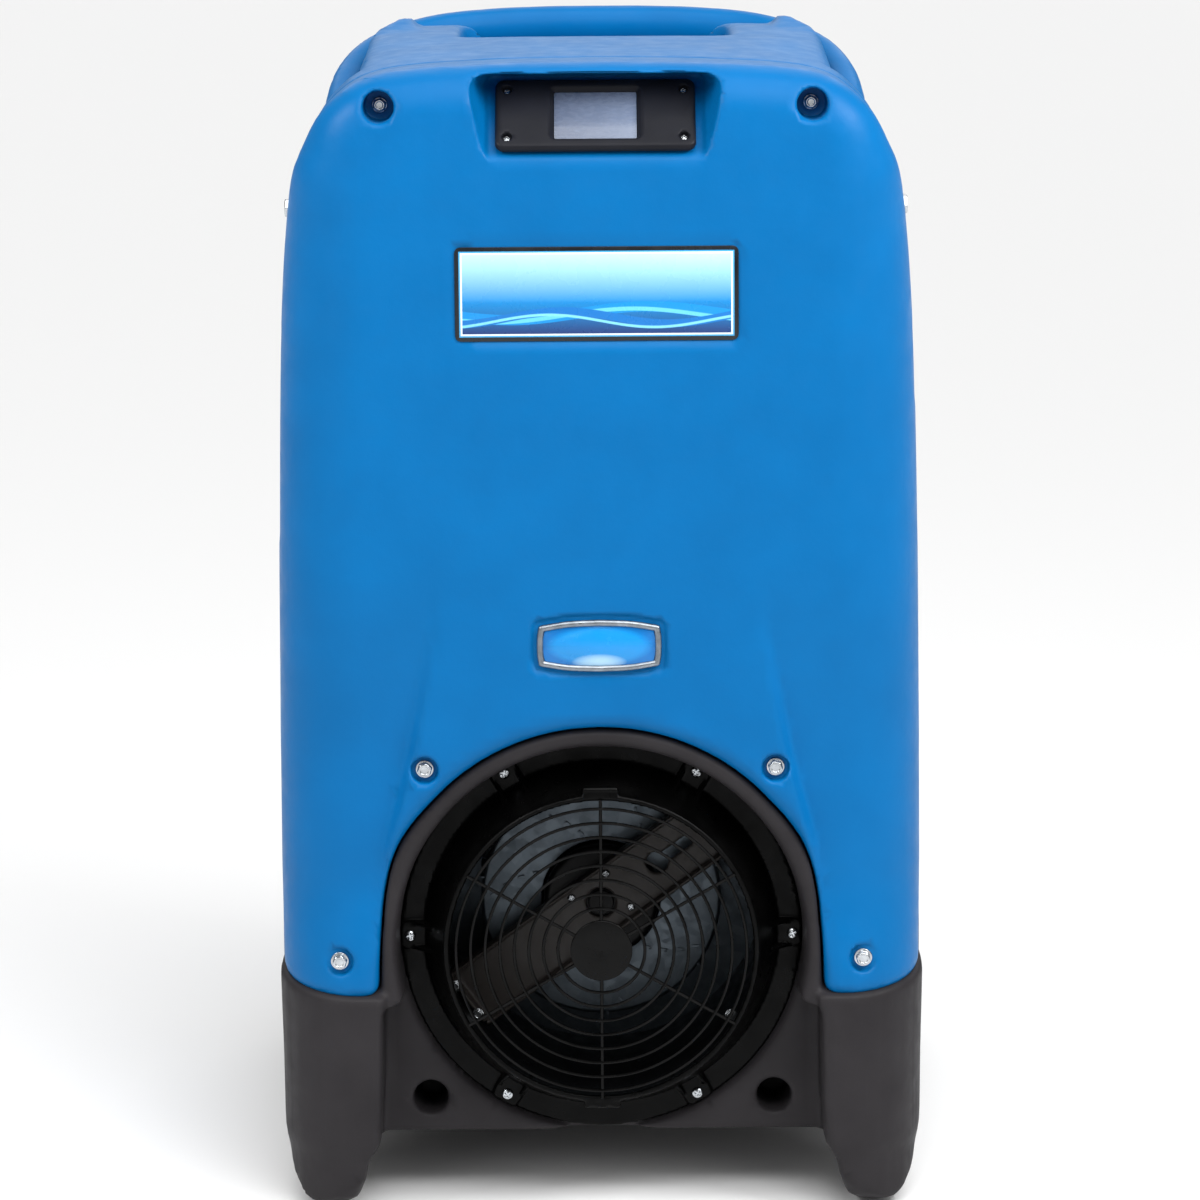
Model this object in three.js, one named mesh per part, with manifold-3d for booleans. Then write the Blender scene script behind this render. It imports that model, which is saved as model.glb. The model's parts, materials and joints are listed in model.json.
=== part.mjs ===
// Commercial refrigerant dehumidifier: a rotomoulded cabinet on two front feet and two rear
// wheels, with a fold-up handle, a touch screen, a low front air outlet and a rear intake filter.
// Millimetres. X runs to the right seen from the front, Y to the back, Z up from the floor.
// The origin is the bottom centre of the whole machine's box.
import * as THREE from 'three';
import { mergeVertices } from 'three/addons/utils/BufferGeometryUtils.js';
import Module from 'manifold-3d';

const wasm = await Module();
wasm.setup();

// ---------------------------------------------------------------- driving dimensions
const GAP = 0.3;                  // air left between pieces that touch
const WALL = 5;                   // rotomoulded wall
const FRONT = -265;               // foremost plane of the cabinet
const BACK = 163;                 // rear face of the cabinet
const EDGE_RADIUS = 60;           // front corners
const BROW_RADIUS = 30;           // front edge of the deck, above the shoulders
const REAR_RADIUS = 30;           // rear corners
const SEAM_SIDE = -155;           // front shell meets rear shell, at the sides
const SEAM_TOP = -185;            // and on the deck
const SKIRT_FRONT = 162;          // lower edge of the shells, at the front
const SKIRT_SIDE = 174;           // and along the sides and back
const FLOOR_HEIGHT = 49;          // underside of the base between the feet
const PANEL_Y = FRONT + 45;       // base panel between the feet

const FAN_HEIGHT = 198;           // outlet and fan axis
const ARCH_RADIUS = 162;          // blue edge around the outlet
const RECESS_RADIUS = 146.5;      // bottom of the outlet recess
const FLANGE_Y = FRONT + 54;      // back of the outlet collar's flange

const PIVOT = { y: -115, z: 718 };      // handle hinge line
const HANDLE_REACH = 296;               // pivot to crossbar centre
const HANDLE_REST = THREE.MathUtils.degToRad(22.9);
const HANDLE_TUBE = { halfWidth: 14, halfHeight: 17 };
const ARM_OUTER_X = 219;                // outside of the pivot knuckles
const KNUCKLE_RADIUS = 24;
const DECK_HALF = 172.5;                // deck between the handle arms
const DECK_REAR_Y = 118;                // rear edge of the deck, ahead of the folded crossbar
const DECK_CREST_Y = 55;                // where the rising deck reaches its full height
const BOSS_X = 190;                     // face of the pivot boss
const BOSS_RADIUS = 33;
const PIVOT_BOLT_RADIUS = 5;
const BUSH_RADIUS = 9;

const WHEEL_RADIUS = 127;
const WHEEL_Y = 135;
const WHEEL_INNER = 205;
const WHEEL_OUTER = 250;
const WELL_RADIUS = 138;
const WELL_INNER = 198;
const AXLE_RADIUS = 8;

const PANEL_TILT = THREE.MathUtils.degToRad(45);  // the screen recess leans back
const PANEL_CENTRE = { y: FRONT + 25.7, z: 789.7 };
const PANEL_HALF = { width: 69, height: 29 };
const SCREEN_HALF = { width: 29, height: 21.4 };
const RECESS = { tip: 764, roof: 823.5, halfFloor: 74.5, halfMouth: 87 };
const LABEL = { z: 671, halfWidth: 99, halfHeight: 33, seat: 1.4 };
const BADGE = { z: 421, halfWidth: 46, halfHeight: 20, seat: 2.4 };

const FILTER = { halfWidth: 150, bottom: 430, top: 725, front: 132, back: 161 };

// ---------------------------------------------------------------- materials
function finish(color, roughness, metalness = 0) {
  return new THREE.MeshStandardMaterial({ color, roughness, metalness });
}
const bluePlastic = finish(0x017ac0, 0.5);
const greyPlastic = finish(0x3a383a, 0.6);
const blackPlastic = finish(0x0b0c0d, 0.35);
const bezelPlastic = finish(0x2c2e36, 0.45);
const screenGlass = finish(0x75829a, 0.1);
const labelFilm = finish(0x1c5f9e, 0.3);
const silverPlastic = finish(0xb9bec4, 0.3, 0.6);
const zincSteel = finish(0xb4b8bb, 0.35, 0.9);
const galvanisedSteel = finish(0x8d9297, 0.45, 0.8);
const blackWire = finish(0x090909, 0.4, 0.3);
const blackEnamel = finish(0x15161a, 0.4, 0.2);
const castAluminium = finish(0x9a9da1, 0.5, 0.7);
const finAluminium = finish(0xa9b4bb, 0.4, 0.8);
const copper = finish(0xb87348, 0.35, 0.9);
const blackRubber = finish(0x141414, 0.8);
const whiteNylon = finish(0xe2e0d8, 0.5);
const filterMedia = finish(0xdadcd6, 0.9);
const boardGreen = finish(0x1e5a38, 0.5);

// ---------------------------------------------------------------- solid helpers
function solidFromTriangles(positions, indices) {
  const kept = [];
  for (let i = 0; i < indices.length; i += 3) {
    const [a, b, c] = [indices[i], indices[i + 1], indices[i + 2]];
    if (a !== b && b !== c && a !== c) kept.push(a, b, c);
  }
  const make = (triangles) => new wasm.Manifold(new wasm.Mesh({
    numProp: 3,
    vertProperties: new Float32Array(positions),
    triVerts: new Uint32Array(triangles),
  }));
  const solid = make(kept);
  if (solid.volume() > 0) return solid;
  const flipped = [];
  for (let i = 0; i < kept.length; i += 3) flipped.push(kept[i], kept[i + 2], kept[i + 1]);
  return make(flipped);
}

function solidFrom(geometry) {
  const bare = geometry.index ? geometry.clone() : geometry;
  bare.deleteAttribute('normal');
  bare.deleteAttribute('uv');
  const merged = mergeVertices(bare, 1e-3);
  return solidFromTriangles(merged.attributes.position.array, merged.index.array);
}

function joined(solids) {
  return solids.reduce((whole, next) => whole.add(next));
}

function block(x0, x1, y0, y1, z0, z1) {
  const box = new THREE.BoxGeometry(x1 - x0, y1 - y0, z1 - z0);
  box.translate((x0 + x1) / 2, (y0 + y1) / 2, (z0 + z1) / 2);
  return solidFrom(box);
}

// Turns a geometry made along +Y so that it runs along the named axis.
function aimed(geometry, axis) {
  if (axis === 'x') geometry.rotateZ(-Math.PI / 2);
  if (axis === 'z') geometry.rotateX(Math.PI / 2);
  return geometry;
}

// A rod from one end to the other along an axis; centre holds the two other coordinates.
function rod(axis, radius, from, to, centre, sides = 20) {
  const geometry = aimed(new THREE.CylinderGeometry(radius, radius, to - from, sides), axis);
  const middle = (from + to) / 2;
  const at = { x: centre.x ?? 0, y: centre.y ?? 0, z: centre.z ?? 0, [axis]: middle };
  geometry.translate(at.x, at.y, at.z);
  return solidFrom(geometry);
}

// A turned piece: profile points are [radius, place along the axis].
function turned(axis, profile, centre, sides = 36) {
  const points = profile.map(([radius, along]) => new THREE.Vector2(radius, along));
  const closes = profile[0][0] > 0;
  if (closes) points.push(points[0].clone());
  const geometry = aimed(new THREE.LatheGeometry(points, sides), axis);
  geometry.translate(centre.x ?? 0, centre.y ?? 0, centre.z ?? 0);
  return solidFrom(geometry);
}

function outlineShape(points) {
  return new THREE.Shape(points.map(([u, v]) => new THREE.Vector2(u, v)));
}

function prism(points, depth, xAxis, yAxis, zAxis, origin) {
  const options = { depth, bevelEnabled: false, steps: 1 };
  const geometry = new THREE.ExtrudeGeometry(outlineShape(points), options);
  geometry.applyMatrix4(new THREE.Matrix4().makeBasis(xAxis, yAxis, zAxis));
  geometry.translate(...origin);
  return solidFrom(geometry);
}

const X_AXIS = new THREE.Vector3(1, 0, 0);
const Y_AXIS = new THREE.Vector3(0, 1, 0);
const Z_AXIS = new THREE.Vector3(0, 0, 1);

function prismX(points, x0, x1) {      // points are [y, z]
  return prism(points, x1 - x0, Y_AXIS, Z_AXIS, X_AXIS, [x0, 0, 0]);
}
function prismY(points, y0, y1) {      // points are [x, z]
  return prism(points, y1 - y0, X_AXIS, Z_AXIS, Y_AXIS.clone().negate(), [0, y1, 0]);
}
function prismZ(points, z0, z1) {      // points are [x, y]
  return prism(points, z1 - z0, X_AXIS, Y_AXIS, Z_AXIS, [0, 0, z0]);
}

function arcPoints(centreU, centreV, radius, fromDegrees, toDegrees, steps) {
  const points = [];
  for (let i = 0; i <= steps; i += 1) {
    const angle = THREE.MathUtils.degToRad(fromDegrees + ((toDegrees - fromDegrees) * i) / steps);
    points.push([centreU + radius * Math.cos(angle), centreV + radius * Math.sin(angle)]);
  }
  return points;
}

function roundedRectangle(halfU, halfV, radius, steps = 3, centreU = 0, centreV = 0) {
  const corner = (signU, signV, start) => arcPoints(
    centreU + signU * (halfU - radius), centreV + signV * (halfV - radius),
    radius, start, start + 90, steps);
  return [...corner(1, 1, 0), ...corner(-1, 1, 90), ...corner(-1, -1, 180), ...corner(1, -1, 270)];
}

// A closed solid through sections that have the same number of [x, z] points, each at its y.
function loftAlongY(sections) {
  const positions = [];
  const count = sections[0].points.length;
  for (const { y, points } of sections) {
    for (const [x, z] of points) positions.push(x, y, z);
  }
  const indices = [];
  for (let s = 0; s + 1 < sections.length; s += 1) {
    for (let i = 0; i < count; i += 1) {
      const next = (i + 1) % count;
      const [a, b] = [s * count + i, s * count + next];
      const [c, d] = [a + count, b + count];
      indices.push(a, b, d, a, d, c);
    }
  }
  const first = sections[0].points.map(([x, z]) => new THREE.Vector2(x, z));
  const last = sections.at(-1).points.map(([x, z]) => new THREE.Vector2(x, z));
  const offset = (sections.length - 1) * count;
  for (const [a, b, c] of THREE.ShapeUtils.triangulateShape(first, [])) indices.push(c, b, a);
  for (const [a, b, c] of THREE.ShapeUtils.triangulateShape(last, [])) {
    indices.push(offset + a, offset + b, offset + c);
  }
  return solidFromTriangles(positions, indices);
}

const machine = new THREE.Group();

function place(name, solid, material) {
  const mesh = solid.getMesh();
  const geometry = new THREE.BufferGeometry();
  geometry.setAttribute('position', new THREE.BufferAttribute(mesh.vertProperties, mesh.numProp));
  geometry.setIndex(new THREE.BufferAttribute(mesh.triVerts, 1));
  const piece = new THREE.Mesh(geometry, material);
  piece.name = name;
  machine.add(piece);
}

function onBothSides(make) {
  for (const [side, word] of [[-1, 'left'], [1, 'right']]) make(side, word);
}

function mirrored(make) {
  return joined([make(-1), make(1)]);
}

// ---------------------------------------------------------------- cabinet outlines
const OUTLINE_STEPS = 17;
const frontOutline = new THREE.SplineCurve([
  [233, 150], [231.5, 350], [227, 600], [219, 730], [204, 776], [183, 806], [150, 823], [80, 829],
  [0, 830.5],
].map(([x, z]) => new THREE.Vector2(x, z)));
const rearOutline = new THREE.SplineCurve([
  [233, 150], [231.5, 350], [227, 600], [219, 730], [209, 776], [195, 812], [172, 835], [90, 838],
  [0, 838],
].map(([x, z]) => new THREE.Vector2(x, z)));

// How far a rounded front edge lies inside the outline, at a depth behind the front face.
function edgeInset(depth, radius) {
  return depth < radius ? radius - Math.sqrt(radius ** 2 - (radius - depth) ** 2) : 0;
}

// The cabinet seen from the front. wall moves it inwards, depth is the distance behind the
// front face, and blend runs from the front shape to the rear shape.
function cabinetSection(y, wall, blend, depth = Infinity, extra = 0) {
  const half = [];
  for (let i = 0; i <= OUTLINE_STEPS; i += 1) {
    const t = i / OUTLINE_STEPS;
    const point = frontOutline.getPoint(t).lerp(rearOutline.getPoint(t), blend);
    const along = frontOutline.getTangent(t).lerp(rearOutline.getTangent(t), blend).normalize();
    const shoulder = THREE.MathUtils.smoothstep(point.y, 700, 812);
    const radius = THREE.MathUtils.lerp(EDGE_RADIUS, BROW_RADIUS, shoulder) - wall;
    const inset = wall + extra + edgeInset(depth, radius);
    const x = i === OUTLINE_STEPS ? 0 : point.x - along.y * inset;
    half.push([x, i === 0 ? point.y : point.y + along.x * inset]);
  }
  const left = half.slice(0, -1).reverse().map(([x, z]) => [-x, z]);
  return { y, points: [...half, ...left] };
}

// The whole cabinet, rounded at the front and the back; inset gives its inner face.
// Behind the deck it falls back to the front outline, above which the rebate is cut away.
function cabinetBody(inset) {
  const sections = [];
  for (const depth of [0, 4, 14, 30 - inset, EDGE_RADIUS - inset]) {
    sections.push(cabinetSection(FRONT + inset + depth, inset, 0, depth));
  }
  sections.push(cabinetSection(SEAM_TOP, inset, 0));
  sections.push(cabinetSection(DECK_CREST_Y, inset, 1));
  sections.push(cabinetSection(DECK_REAR_Y + 2, inset, 1));
  for (let i = 0; i <= 3; i += 1) {
    const angle = (Math.PI / 2) * (i / 3);
    const radius = REAR_RADIUS - inset;
    const y = BACK - inset - radius * (1 - Math.sin(angle));
    sections.push(cabinetSection(y, inset, 0, Infinity, radius * (1 - Math.cos(angle))));
  }
  return loftAlongY(sections);
}

// Room for the handle's arms: it lies above them on both sides, around a boss at the pivot.
function armRoom(extra) {
  const along = [Math.cos(HANDLE_REST), Math.sin(HANDLE_REST)];
  const below = HANDLE_TUBE.halfHeight + 4 + extra;
  const farY = PIVOT.y + 340 * along[0] + below * along[1];
  const farZ = PIVOT.z + 340 * along[1] - below * along[0];
  const round = KNUCKLE_RADIUS + 4 + extra;
  const outline = [
    [PIVOT.y - round, 900],
    ...arcPoints(PIVOT.y, PIVOT.z, round, 180, 292.9, 5),
    [farY, farZ], [farY, 900],
  ];
  const makeSide = (side) => {
    const inner = DECK_HALF - extra;
    const room = side > 0 ? prismX(outline, inner, 260) : prismX(outline, -260, -inner);
    const boss = [inner - 5, BOSS_X - extra].map((x) => side * x).sort((a, b) => a - b);
    return room.subtract(rod('x', BOSS_RADIUS, boss[0], boss[1], PIVOT, 28));
  };
  return mirrored(makeSide);
}

// The step at the top rear edge that leaves finger room around the folded crossbar.
function fingerRebate(extra) {
  const step = prismX([
    [BACK + 20, 744 - extra], [BACK - 4 - extra, 744 - extra], [DECK_REAR_Y - extra, 772 - extra],
    [DECK_REAR_Y - extra, 900], [BACK + 20, 900],
  ], -260, 260);
  const corners = mirrored((side) => prismZ([
    [DECK_HALF + 60, 40 - extra], [DECK_HALF - extra / 2, 40 - extra], [138 - extra / 2, 104 - extra],
    [105, DECK_REAR_Y - extra], [105, 150], [DECK_HALF + 60, 150],
  ].map(([x, y]) => [side * x, y]), 790 - extra, 900));
  return step.add(corners);
}

function wheelWells(extra) {
  const makeSide = (side) => {
    const ends = [WELL_INNER - extra, 280].map((x) => side * x).sort((a, b) => a - b);
    return rod('x', WELL_RADIUS + extra, ends[0], ends[1], { y: WHEEL_Y, z: WHEEL_RADIUS }, 32);
  };
  return mirrored(makeSide);
}

// The arch in the front shell around the outlet, down to the skirt.
function archOutline(inset) {
  const halfTop = arcPoints(0, FAN_HEIGHT, ARCH_RADIUS - inset, 40, 90, 9);
  const right = [
    [161 - inset, 100], [160 - inset, 170], [158.5 - inset, 205], [156 - inset, 236],
    [151.5 - inset, 260], [145 - inset, 276], ...halfTop,
  ];
  const left = right.slice(0, -1).reverse().map(([x, z]) => [-x, z]);
  return [...right, ...left];
}

const skirtCut = prismX([
  [FRONT - 20, 60], [FRONT - 20, SKIRT_FRONT], [FRONT, SKIRT_FRONT], [FRONT + 70, SKIRT_SIDE],
  [BACK + 20, SKIRT_SIDE], [BACK + 20, 60],
], -300, 300);

function seamRegion(gap) {
  return prismX([
    [FRONT - 20, 60], [SEAM_SIDE + gap, 60], [SEAM_SIDE + gap, 760], [SEAM_TOP + gap, 812],
    [SEAM_TOP + gap, 900], [FRONT - 20, 900],
  ], -300, 300);
}

const outerBody = cabinetBody(0);
const innerBody = cabinetBody(WALL);

// ---------------------------------------------------------------- fastener places
const pocketBolts = { x: 150.5, z: 801, pocketRadius: 11.5, floorY: FRONT + 32 };
const frontBolts = [
  { name: 'mid', x: 125, z: 331, seatY: FRONT + 7.5 },
  { name: 'low', x: 188, z: 190, seatY: FRONT + 8 },
];
const collarScrewAngles = [0, 60, 120, 180, 240, 300];
const COLLAR_SCREW_RADIUS = 139;

function collarScrewPlace(degrees) {
  const angle = THREE.MathUtils.degToRad(degrees);
  return {
    x: COLLAR_SCREW_RADIUS * Math.cos(angle),
    z: FAN_HEIGHT + COLLAR_SCREW_RADIUS * Math.sin(angle),
  };
}

// ---------------------------------------------------------------- screen panel frame
// Panel pieces are drawn flat, with v up the panel and depth along its inward normal.
function onPanel(solid) {
  return solid
    .rotate([THREE.MathUtils.radToDeg(-PANEL_TILT), 0, 0])
    .translate([0, PANEL_CENTRE.y, PANEL_CENTRE.z]);
}
function panelPlate(halfWidth, halfHeight, radius, from, to) {
  return prismY(roundedRectangle(halfWidth, halfHeight, radius), from, to);
}
const panelScrewPlaces = [[-61.5, 21.5], [61.5, 21.5], [61.5, -21.5], [-61.5, -21.5]];

// The badge is a rectangle with bowed long sides and clipped corners.
function badgePlate(grow, from, to) {
  const w = BADGE.halfWidth + grow;
  const h = BADGE.halfHeight + grow;
  const quarter = [[w, 0], [w - 1, 0.45 * h], [w - 3, 0.72 * h], [0.55 * w, 0.9 * h], [0, h]];
  const right = [...quarter.map(([x, z]) => [x, -z]).reverse(), ...quarter.slice(1)];
  const left = right.slice(1, -1).map(([x, z]) => [-x, z]).reverse();
  return prismY([...right, ...left].map(([x, z]) => [x, BADGE.z + z]), from, to);
}

function panelHole(radius, from, to) {
  return joined(panelScrewPlaces.map(([x, z]) => rod('y', radius, from, to, { x, z }, 8)));
}

// ---------------------------------------------------------------- shells
function makeFrontShell() {
  const { tip, roof, halfFloor, halfMouth } = RECESS;
  const mouthWidth = halfMouth + 1.5;
  const recess = prismZ([
    [-mouthWidth, FRONT - 5], [mouthWidth, FRONT - 5], [halfFloor, FRONT + 46],
    [halfFloor - 4, FRONT + 62], [4 - halfFloor, FRONT + 62], [-halfFloor, FRONT + 46],
  ], tip - 10, roof).intersect(prismX([
    [FRONT - 8, tip - 8], [FRONT + 64, tip + 64], [FRONT - 8, tip + 64],
  ], -100, 100));
  const tray = prismX([
    [FRONT + 1, tip - 10], [FRONT + 70, tip + 58], [FRONT + 70, roof + 5], [FRONT + 1, roof + 5],
  ], -92, 92);
  const window = onPanel(block(-50, 50, -5, 30, -22.5, 22.5));
  const seats = prismY(roundedRectangle(LABEL.halfWidth + 2, LABEL.halfHeight + 2, 5, 2, 0, LABEL.z),
    FRONT - 5, FRONT + LABEL.seat).add(badgePlate(GAP * 2, FRONT - 5, FRONT + BADGE.seat));
  const bosses = mirrored((side) => rod('y', 17, FRONT + 4, pocketBolts.floorY + 5,
    { x: side * pocketBolts.x, z: pocketBolts.z }, 16));
  const pockets = mirrored((side) => joined([
    rod('y', pocketBolts.pocketRadius, FRONT - 5, pocketBolts.floorY,
      { x: side * pocketBolts.x, z: pocketBolts.z }, 20),
    rod('y', 4, FRONT - 5, pocketBolts.floorY + 10,
      { x: side * pocketBolts.x, z: pocketBolts.z }, 8),
  ]));
  const boltHoles = mirrored((side) => joined(frontBolts.flatMap(({ x, z, seatY }) => [
    rod('y', 10.5, FRONT - 5, seatY, { x: side * x, z }, 16),
    rod('y', 3.4, FRONT - 5, FRONT + 30, { x: side * x, z }, 8),
  ])));
  const boltPads = mirrored((side) => joined(frontBolts.map(({ x, z }) => (
    rod('y', 14, FRONT + 2, FRONT + 14, { x: side * x, z }, 16)))));
  return outerBody
    .subtract(innerBody)
    .add(tray.add(bosses).add(boltPads).intersect(outerBody))
    .intersect(seamRegion(0))
    .subtract(skirtCut)
    .subtract(prismY(archOutline(0), FRONT - 5, FRONT + 150))
    .subtract(recess)
    .subtract(window)
    .subtract(seats)
    .subtract(onPanel(panelHole(1.9, -5, 20)))
    .subtract(pockets)
    .subtract(boltHoles);
}

function makeRearShell() {
  const outer = outerBody.subtract(armRoom(0)).subtract(fingerRebate(0)).subtract(wheelWells(0));
  const inner = innerBody
    .subtract(armRoom(WALL))
    .subtract(fingerRebate(WALL))
    .subtract(wheelWells(WALL));
  const pocket = prismZ(roundedRectangle(100, 62, 18, 3, 0, 52), 793, 860);
  const tray = prismZ(roundedRectangle(105, 67, 22, 3, 0, 50), 788, 826);
  const horns = mirrored((side) => prismZ([
    [138, 38], [138, 92], [150, 76], [163, 52], [163, 38],
  ].map(([x, y]) => [side * x, y]), 825, 846).intersect(prismX([
    [38, 800], [38, 836], [52, 841], [70, 846], [95, 846], [95, 800],
  ], -200, 200)));
  const intake = block(-FILTER.halfWidth, FILTER.halfWidth, 100, 200, FILTER.bottom, FILTER.top);
  const boltHoles = rod('x', PIVOT_BOLT_RADIUS + GAP, -230, 230, PIVOT, 16);
  const gland = rod('y', 11, 120, 200, { x: -120, z: 300 }, 16);
  const barb = rod('y', 9, 120, 200, { x: 120, z: 300 }, 16);
  return outer
    .subtract(inner)
    .add(tray.intersect(outer))
    .add(horns)
    .subtract(seamRegion(GAP))
    .subtract(skirtCut)
    .subtract(pocket)
    .subtract(intake)
    .subtract(boltHoles)
    .subtract(gland)
    .subtract(barb);
}

// ---------------------------------------------------------------- base with feet and arch
function planOutline(inset) {
  const halfWidth = 232.6 - inset;
  const cornerPoints = (signX, y, radius, start) => arcPoints(
    signX * (halfWidth - radius), y, radius, start, start + 90, 5);
  return [
    ...cornerPoints(1, BACK - REAR_RADIUS, REAR_RADIUS - inset, 0),
    ...cornerPoints(-1, BACK - REAR_RADIUS, REAR_RADIUS - inset, 90),
    ...cornerPoints(-1, FRONT + EDGE_RADIUS, EDGE_RADIUS - inset, 180),
    ...cornerPoints(1, FRONT + EDGE_RADIUS, EDGE_RADIUS - inset, 270),
  ];
}

function makeFoot(side) {
  // Seen from the front: straight inner face, broad round at the outer bottom corner.
  const outline = [
    [side * 150, 164], [side * 161, 150], [side * 163, 90], [side * 168, 16], [side * 174, 4],
    [side * 180, 0], [side * 203, 0], [side * 214, 3], [side * 224, 12], [side * 231, 34],
    [side * 232.6, 60], [side * 232.6, 164],
  ];
  const profile = [
    [FRONT, 164], [FRONT, 40], [FRONT + 4, 22], [FRONT + 14, 9], [FRONT + 30, 2],
    [FRONT + 48, 0], [FRONT + 94, 0], [FRONT + 112, 8], [FRONT + 126, 51], [FRONT + 140, 60], [FRONT + 140, 164],
  ];
  return prismY(outline, FRONT, FRONT + 140).intersect(prismX(profile, -240, 240));
}

function makeBase() {
  const tubTop = SKIRT_SIDE - GAP;
  const tub = prismZ(planOutline(0), FLOOR_HEIGHT, tubTop);
  const topCut = prismX([
    [FRONT - 20, SKIRT_FRONT - GAP], [FRONT, SKIRT_FRONT - GAP], [FRONT + 70, tubTop],
    [FRONT + 70, 400], [FRONT - 20, 400],
  ], -300, 300);
  const tubRoom = prismZ(planOutline(WALL), FLOOR_HEIGHT + WALL, 200)
    .subtract(wheelWells(WALL))
    .subtract(block(-300, 300, FRONT - 20, PANEL_Y + WALL, 0, 400));
  const feet = mirrored(makeFoot).intersect(prismZ(planOutline(0), -1, 200));
  const betweenFeet = prismY([
    [-150, -5], [-161, -5], [-161, 150], [-150, 175], [-146, 200], [146, 200], [150, 175],
    [161, 150], [161, -5],
  ], FRONT - 5, PANEL_Y);
  const archRing = prismY(archOutline(1), FRONT + 5, FRONT + 60)
    .subtract(block(-300, 300, FRONT - 20, FRONT + 70, 0, SKIRT_FRONT - 4))
    .intersect(block(-159.5, 159.5, FRONT, FRONT + 70, 120, 400));
  const recessCone = turned('y', [
    [0, FRONT - 1], [156, FRONT - 1], [RECESS_RADIUS, FRONT + 40], [RECESS_RADIUS, FLANGE_Y + GAP],
    [0, FLANGE_Y + GAP],
  ], { z: FAN_HEIGHT }, 36);
  const outletHole = rod('y', 130, FRONT - 5, FRONT + 80, { z: FAN_HEIGHT }, 36);
  const blindHoles = mirrored((side) => rod('y', 12.4, PANEL_Y - 5, PANEL_Y + 4,
    { x: side * 125.5, z: 76 }, 16));
  const screwHoles = joined(collarScrewAngles.map((degrees) => (
    rod('y', 2.3, FRONT, FRONT + 80, collarScrewPlace(degrees), 8))));
  const boltHoles = mirrored((side) => joined(frontBolts.map(({ x, z }) => (
    rod('y', 3.4, FRONT - 5, FRONT + 30, { x: side * x, z }, 8)))));
  const axleHole = rod('x', AXLE_RADIUS + GAP, -240, 240, { y: WHEEL_Y, z: WHEEL_RADIUS }, 20);
  return tub
    .subtract(topCut)
    .subtract(tubRoom)
    .subtract(betweenFeet)
    .add(feet.subtract(topCut))
    .add(archRing)
    .subtract(recessCone)
    .subtract(outletHole)
    .subtract(wheelWells(0))
    .subtract(blindHoles)
    .subtract(screwHoles)
    .subtract(boltHoles)
    .subtract(axleHole);
}

// ---------------------------------------------------------------- handle
// A place in the folded handle's own plane: reach is the distance from the hinge line.
function handlePoint(x, reach) {
  return new THREE.Vector3(
    x, PIVOT.y + reach * Math.cos(HANDLE_REST), PIVOT.z + reach * Math.sin(HANDLE_REST));
}

function makeHandle() {
  const armCentre = ARM_OUTER_X - HANDLE_TUBE.halfWidth;
  const half = [
    [armCentre, 0], [armCentre, 36], [200, 72], [193, 105], [191, 140], [190.5, 170],
    [186, 205], [174, 238], [152, 264], [120, 283], [80, 292], [40, 295.5],
  ];
  const points = [
    ...half.map(([x, reach]) => handlePoint(x, reach)),
    handlePoint(0, HANDLE_REACH),
    ...half.reverse().map(([x, reach]) => handlePoint(-x, reach)),
  ];
  const section = new THREE.Shape();
  section.absellipse(0, 0, HANDLE_TUBE.halfWidth, HANDLE_TUBE.halfHeight, 0, 2 * Math.PI);
  const loop = solidFrom(new THREE.ExtrudeGeometry(section, {
    steps: 36, curveSegments: 5, extrudePath: new THREE.CatmullRomCurve3(points),
  }));
  const knuckles = mirrored((side) => {
    const ends = [BOSS_X + 1.5, ARM_OUTER_X].map((x) => side * x).sort((a, b) => a - b);
    return rod('x', KNUCKLE_RADIUS, ends[0], ends[1], PIVOT, 24);
  });
  const bore = rod('x', BUSH_RADIUS + GAP, -240, 240, PIVOT, 20);
  const trim = mirrored((side) => {
    const ends = [ARM_OUTER_X, 240].map((x) => side * x).sort((a, b) => a - b);
    return block(ends[0], ends[1], -180, -60, 650, 780);
  });
  return loop.add(knuckles).subtract(bore).subtract(trim);
}

function placeHandle() {
  place('handle', makeHandle(), bluePlastic);
  onBothSides((side, word) => {
    const ends = (near, far) => [near, far].map((x) => side * x).sort((a, b) => a - b);
    const bushEnds = ends(BOSS_X + 1.5, ARM_OUTER_X);
    place(`handle_bush_${word}`, rod('x', BUSH_RADIUS, ...bushEnds, PIVOT, 20)
      .subtract(rod('x', PIVOT_BOLT_RADIUS + GAP, -240, 240, PIVOT, 16)), whiteNylon);
    const headEnds = ends(ARM_OUTER_X + 1.7, ARM_OUTER_X + 7);
    const washerEnds = ends(ARM_OUTER_X + GAP, ARM_OUTER_X + 1.7);
    place(`handle_bolt_${word}`, joined([
      rod('x', PIVOT_BOLT_RADIUS, ...ends(172, ARM_OUTER_X + 2), PIVOT, 16),
      rod('x', 10, ...washerEnds, PIVOT, 20),
      rod('x', 7.5, ...headEnds, PIVOT, 6),
    ]), zincSteel);
  });
}

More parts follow.
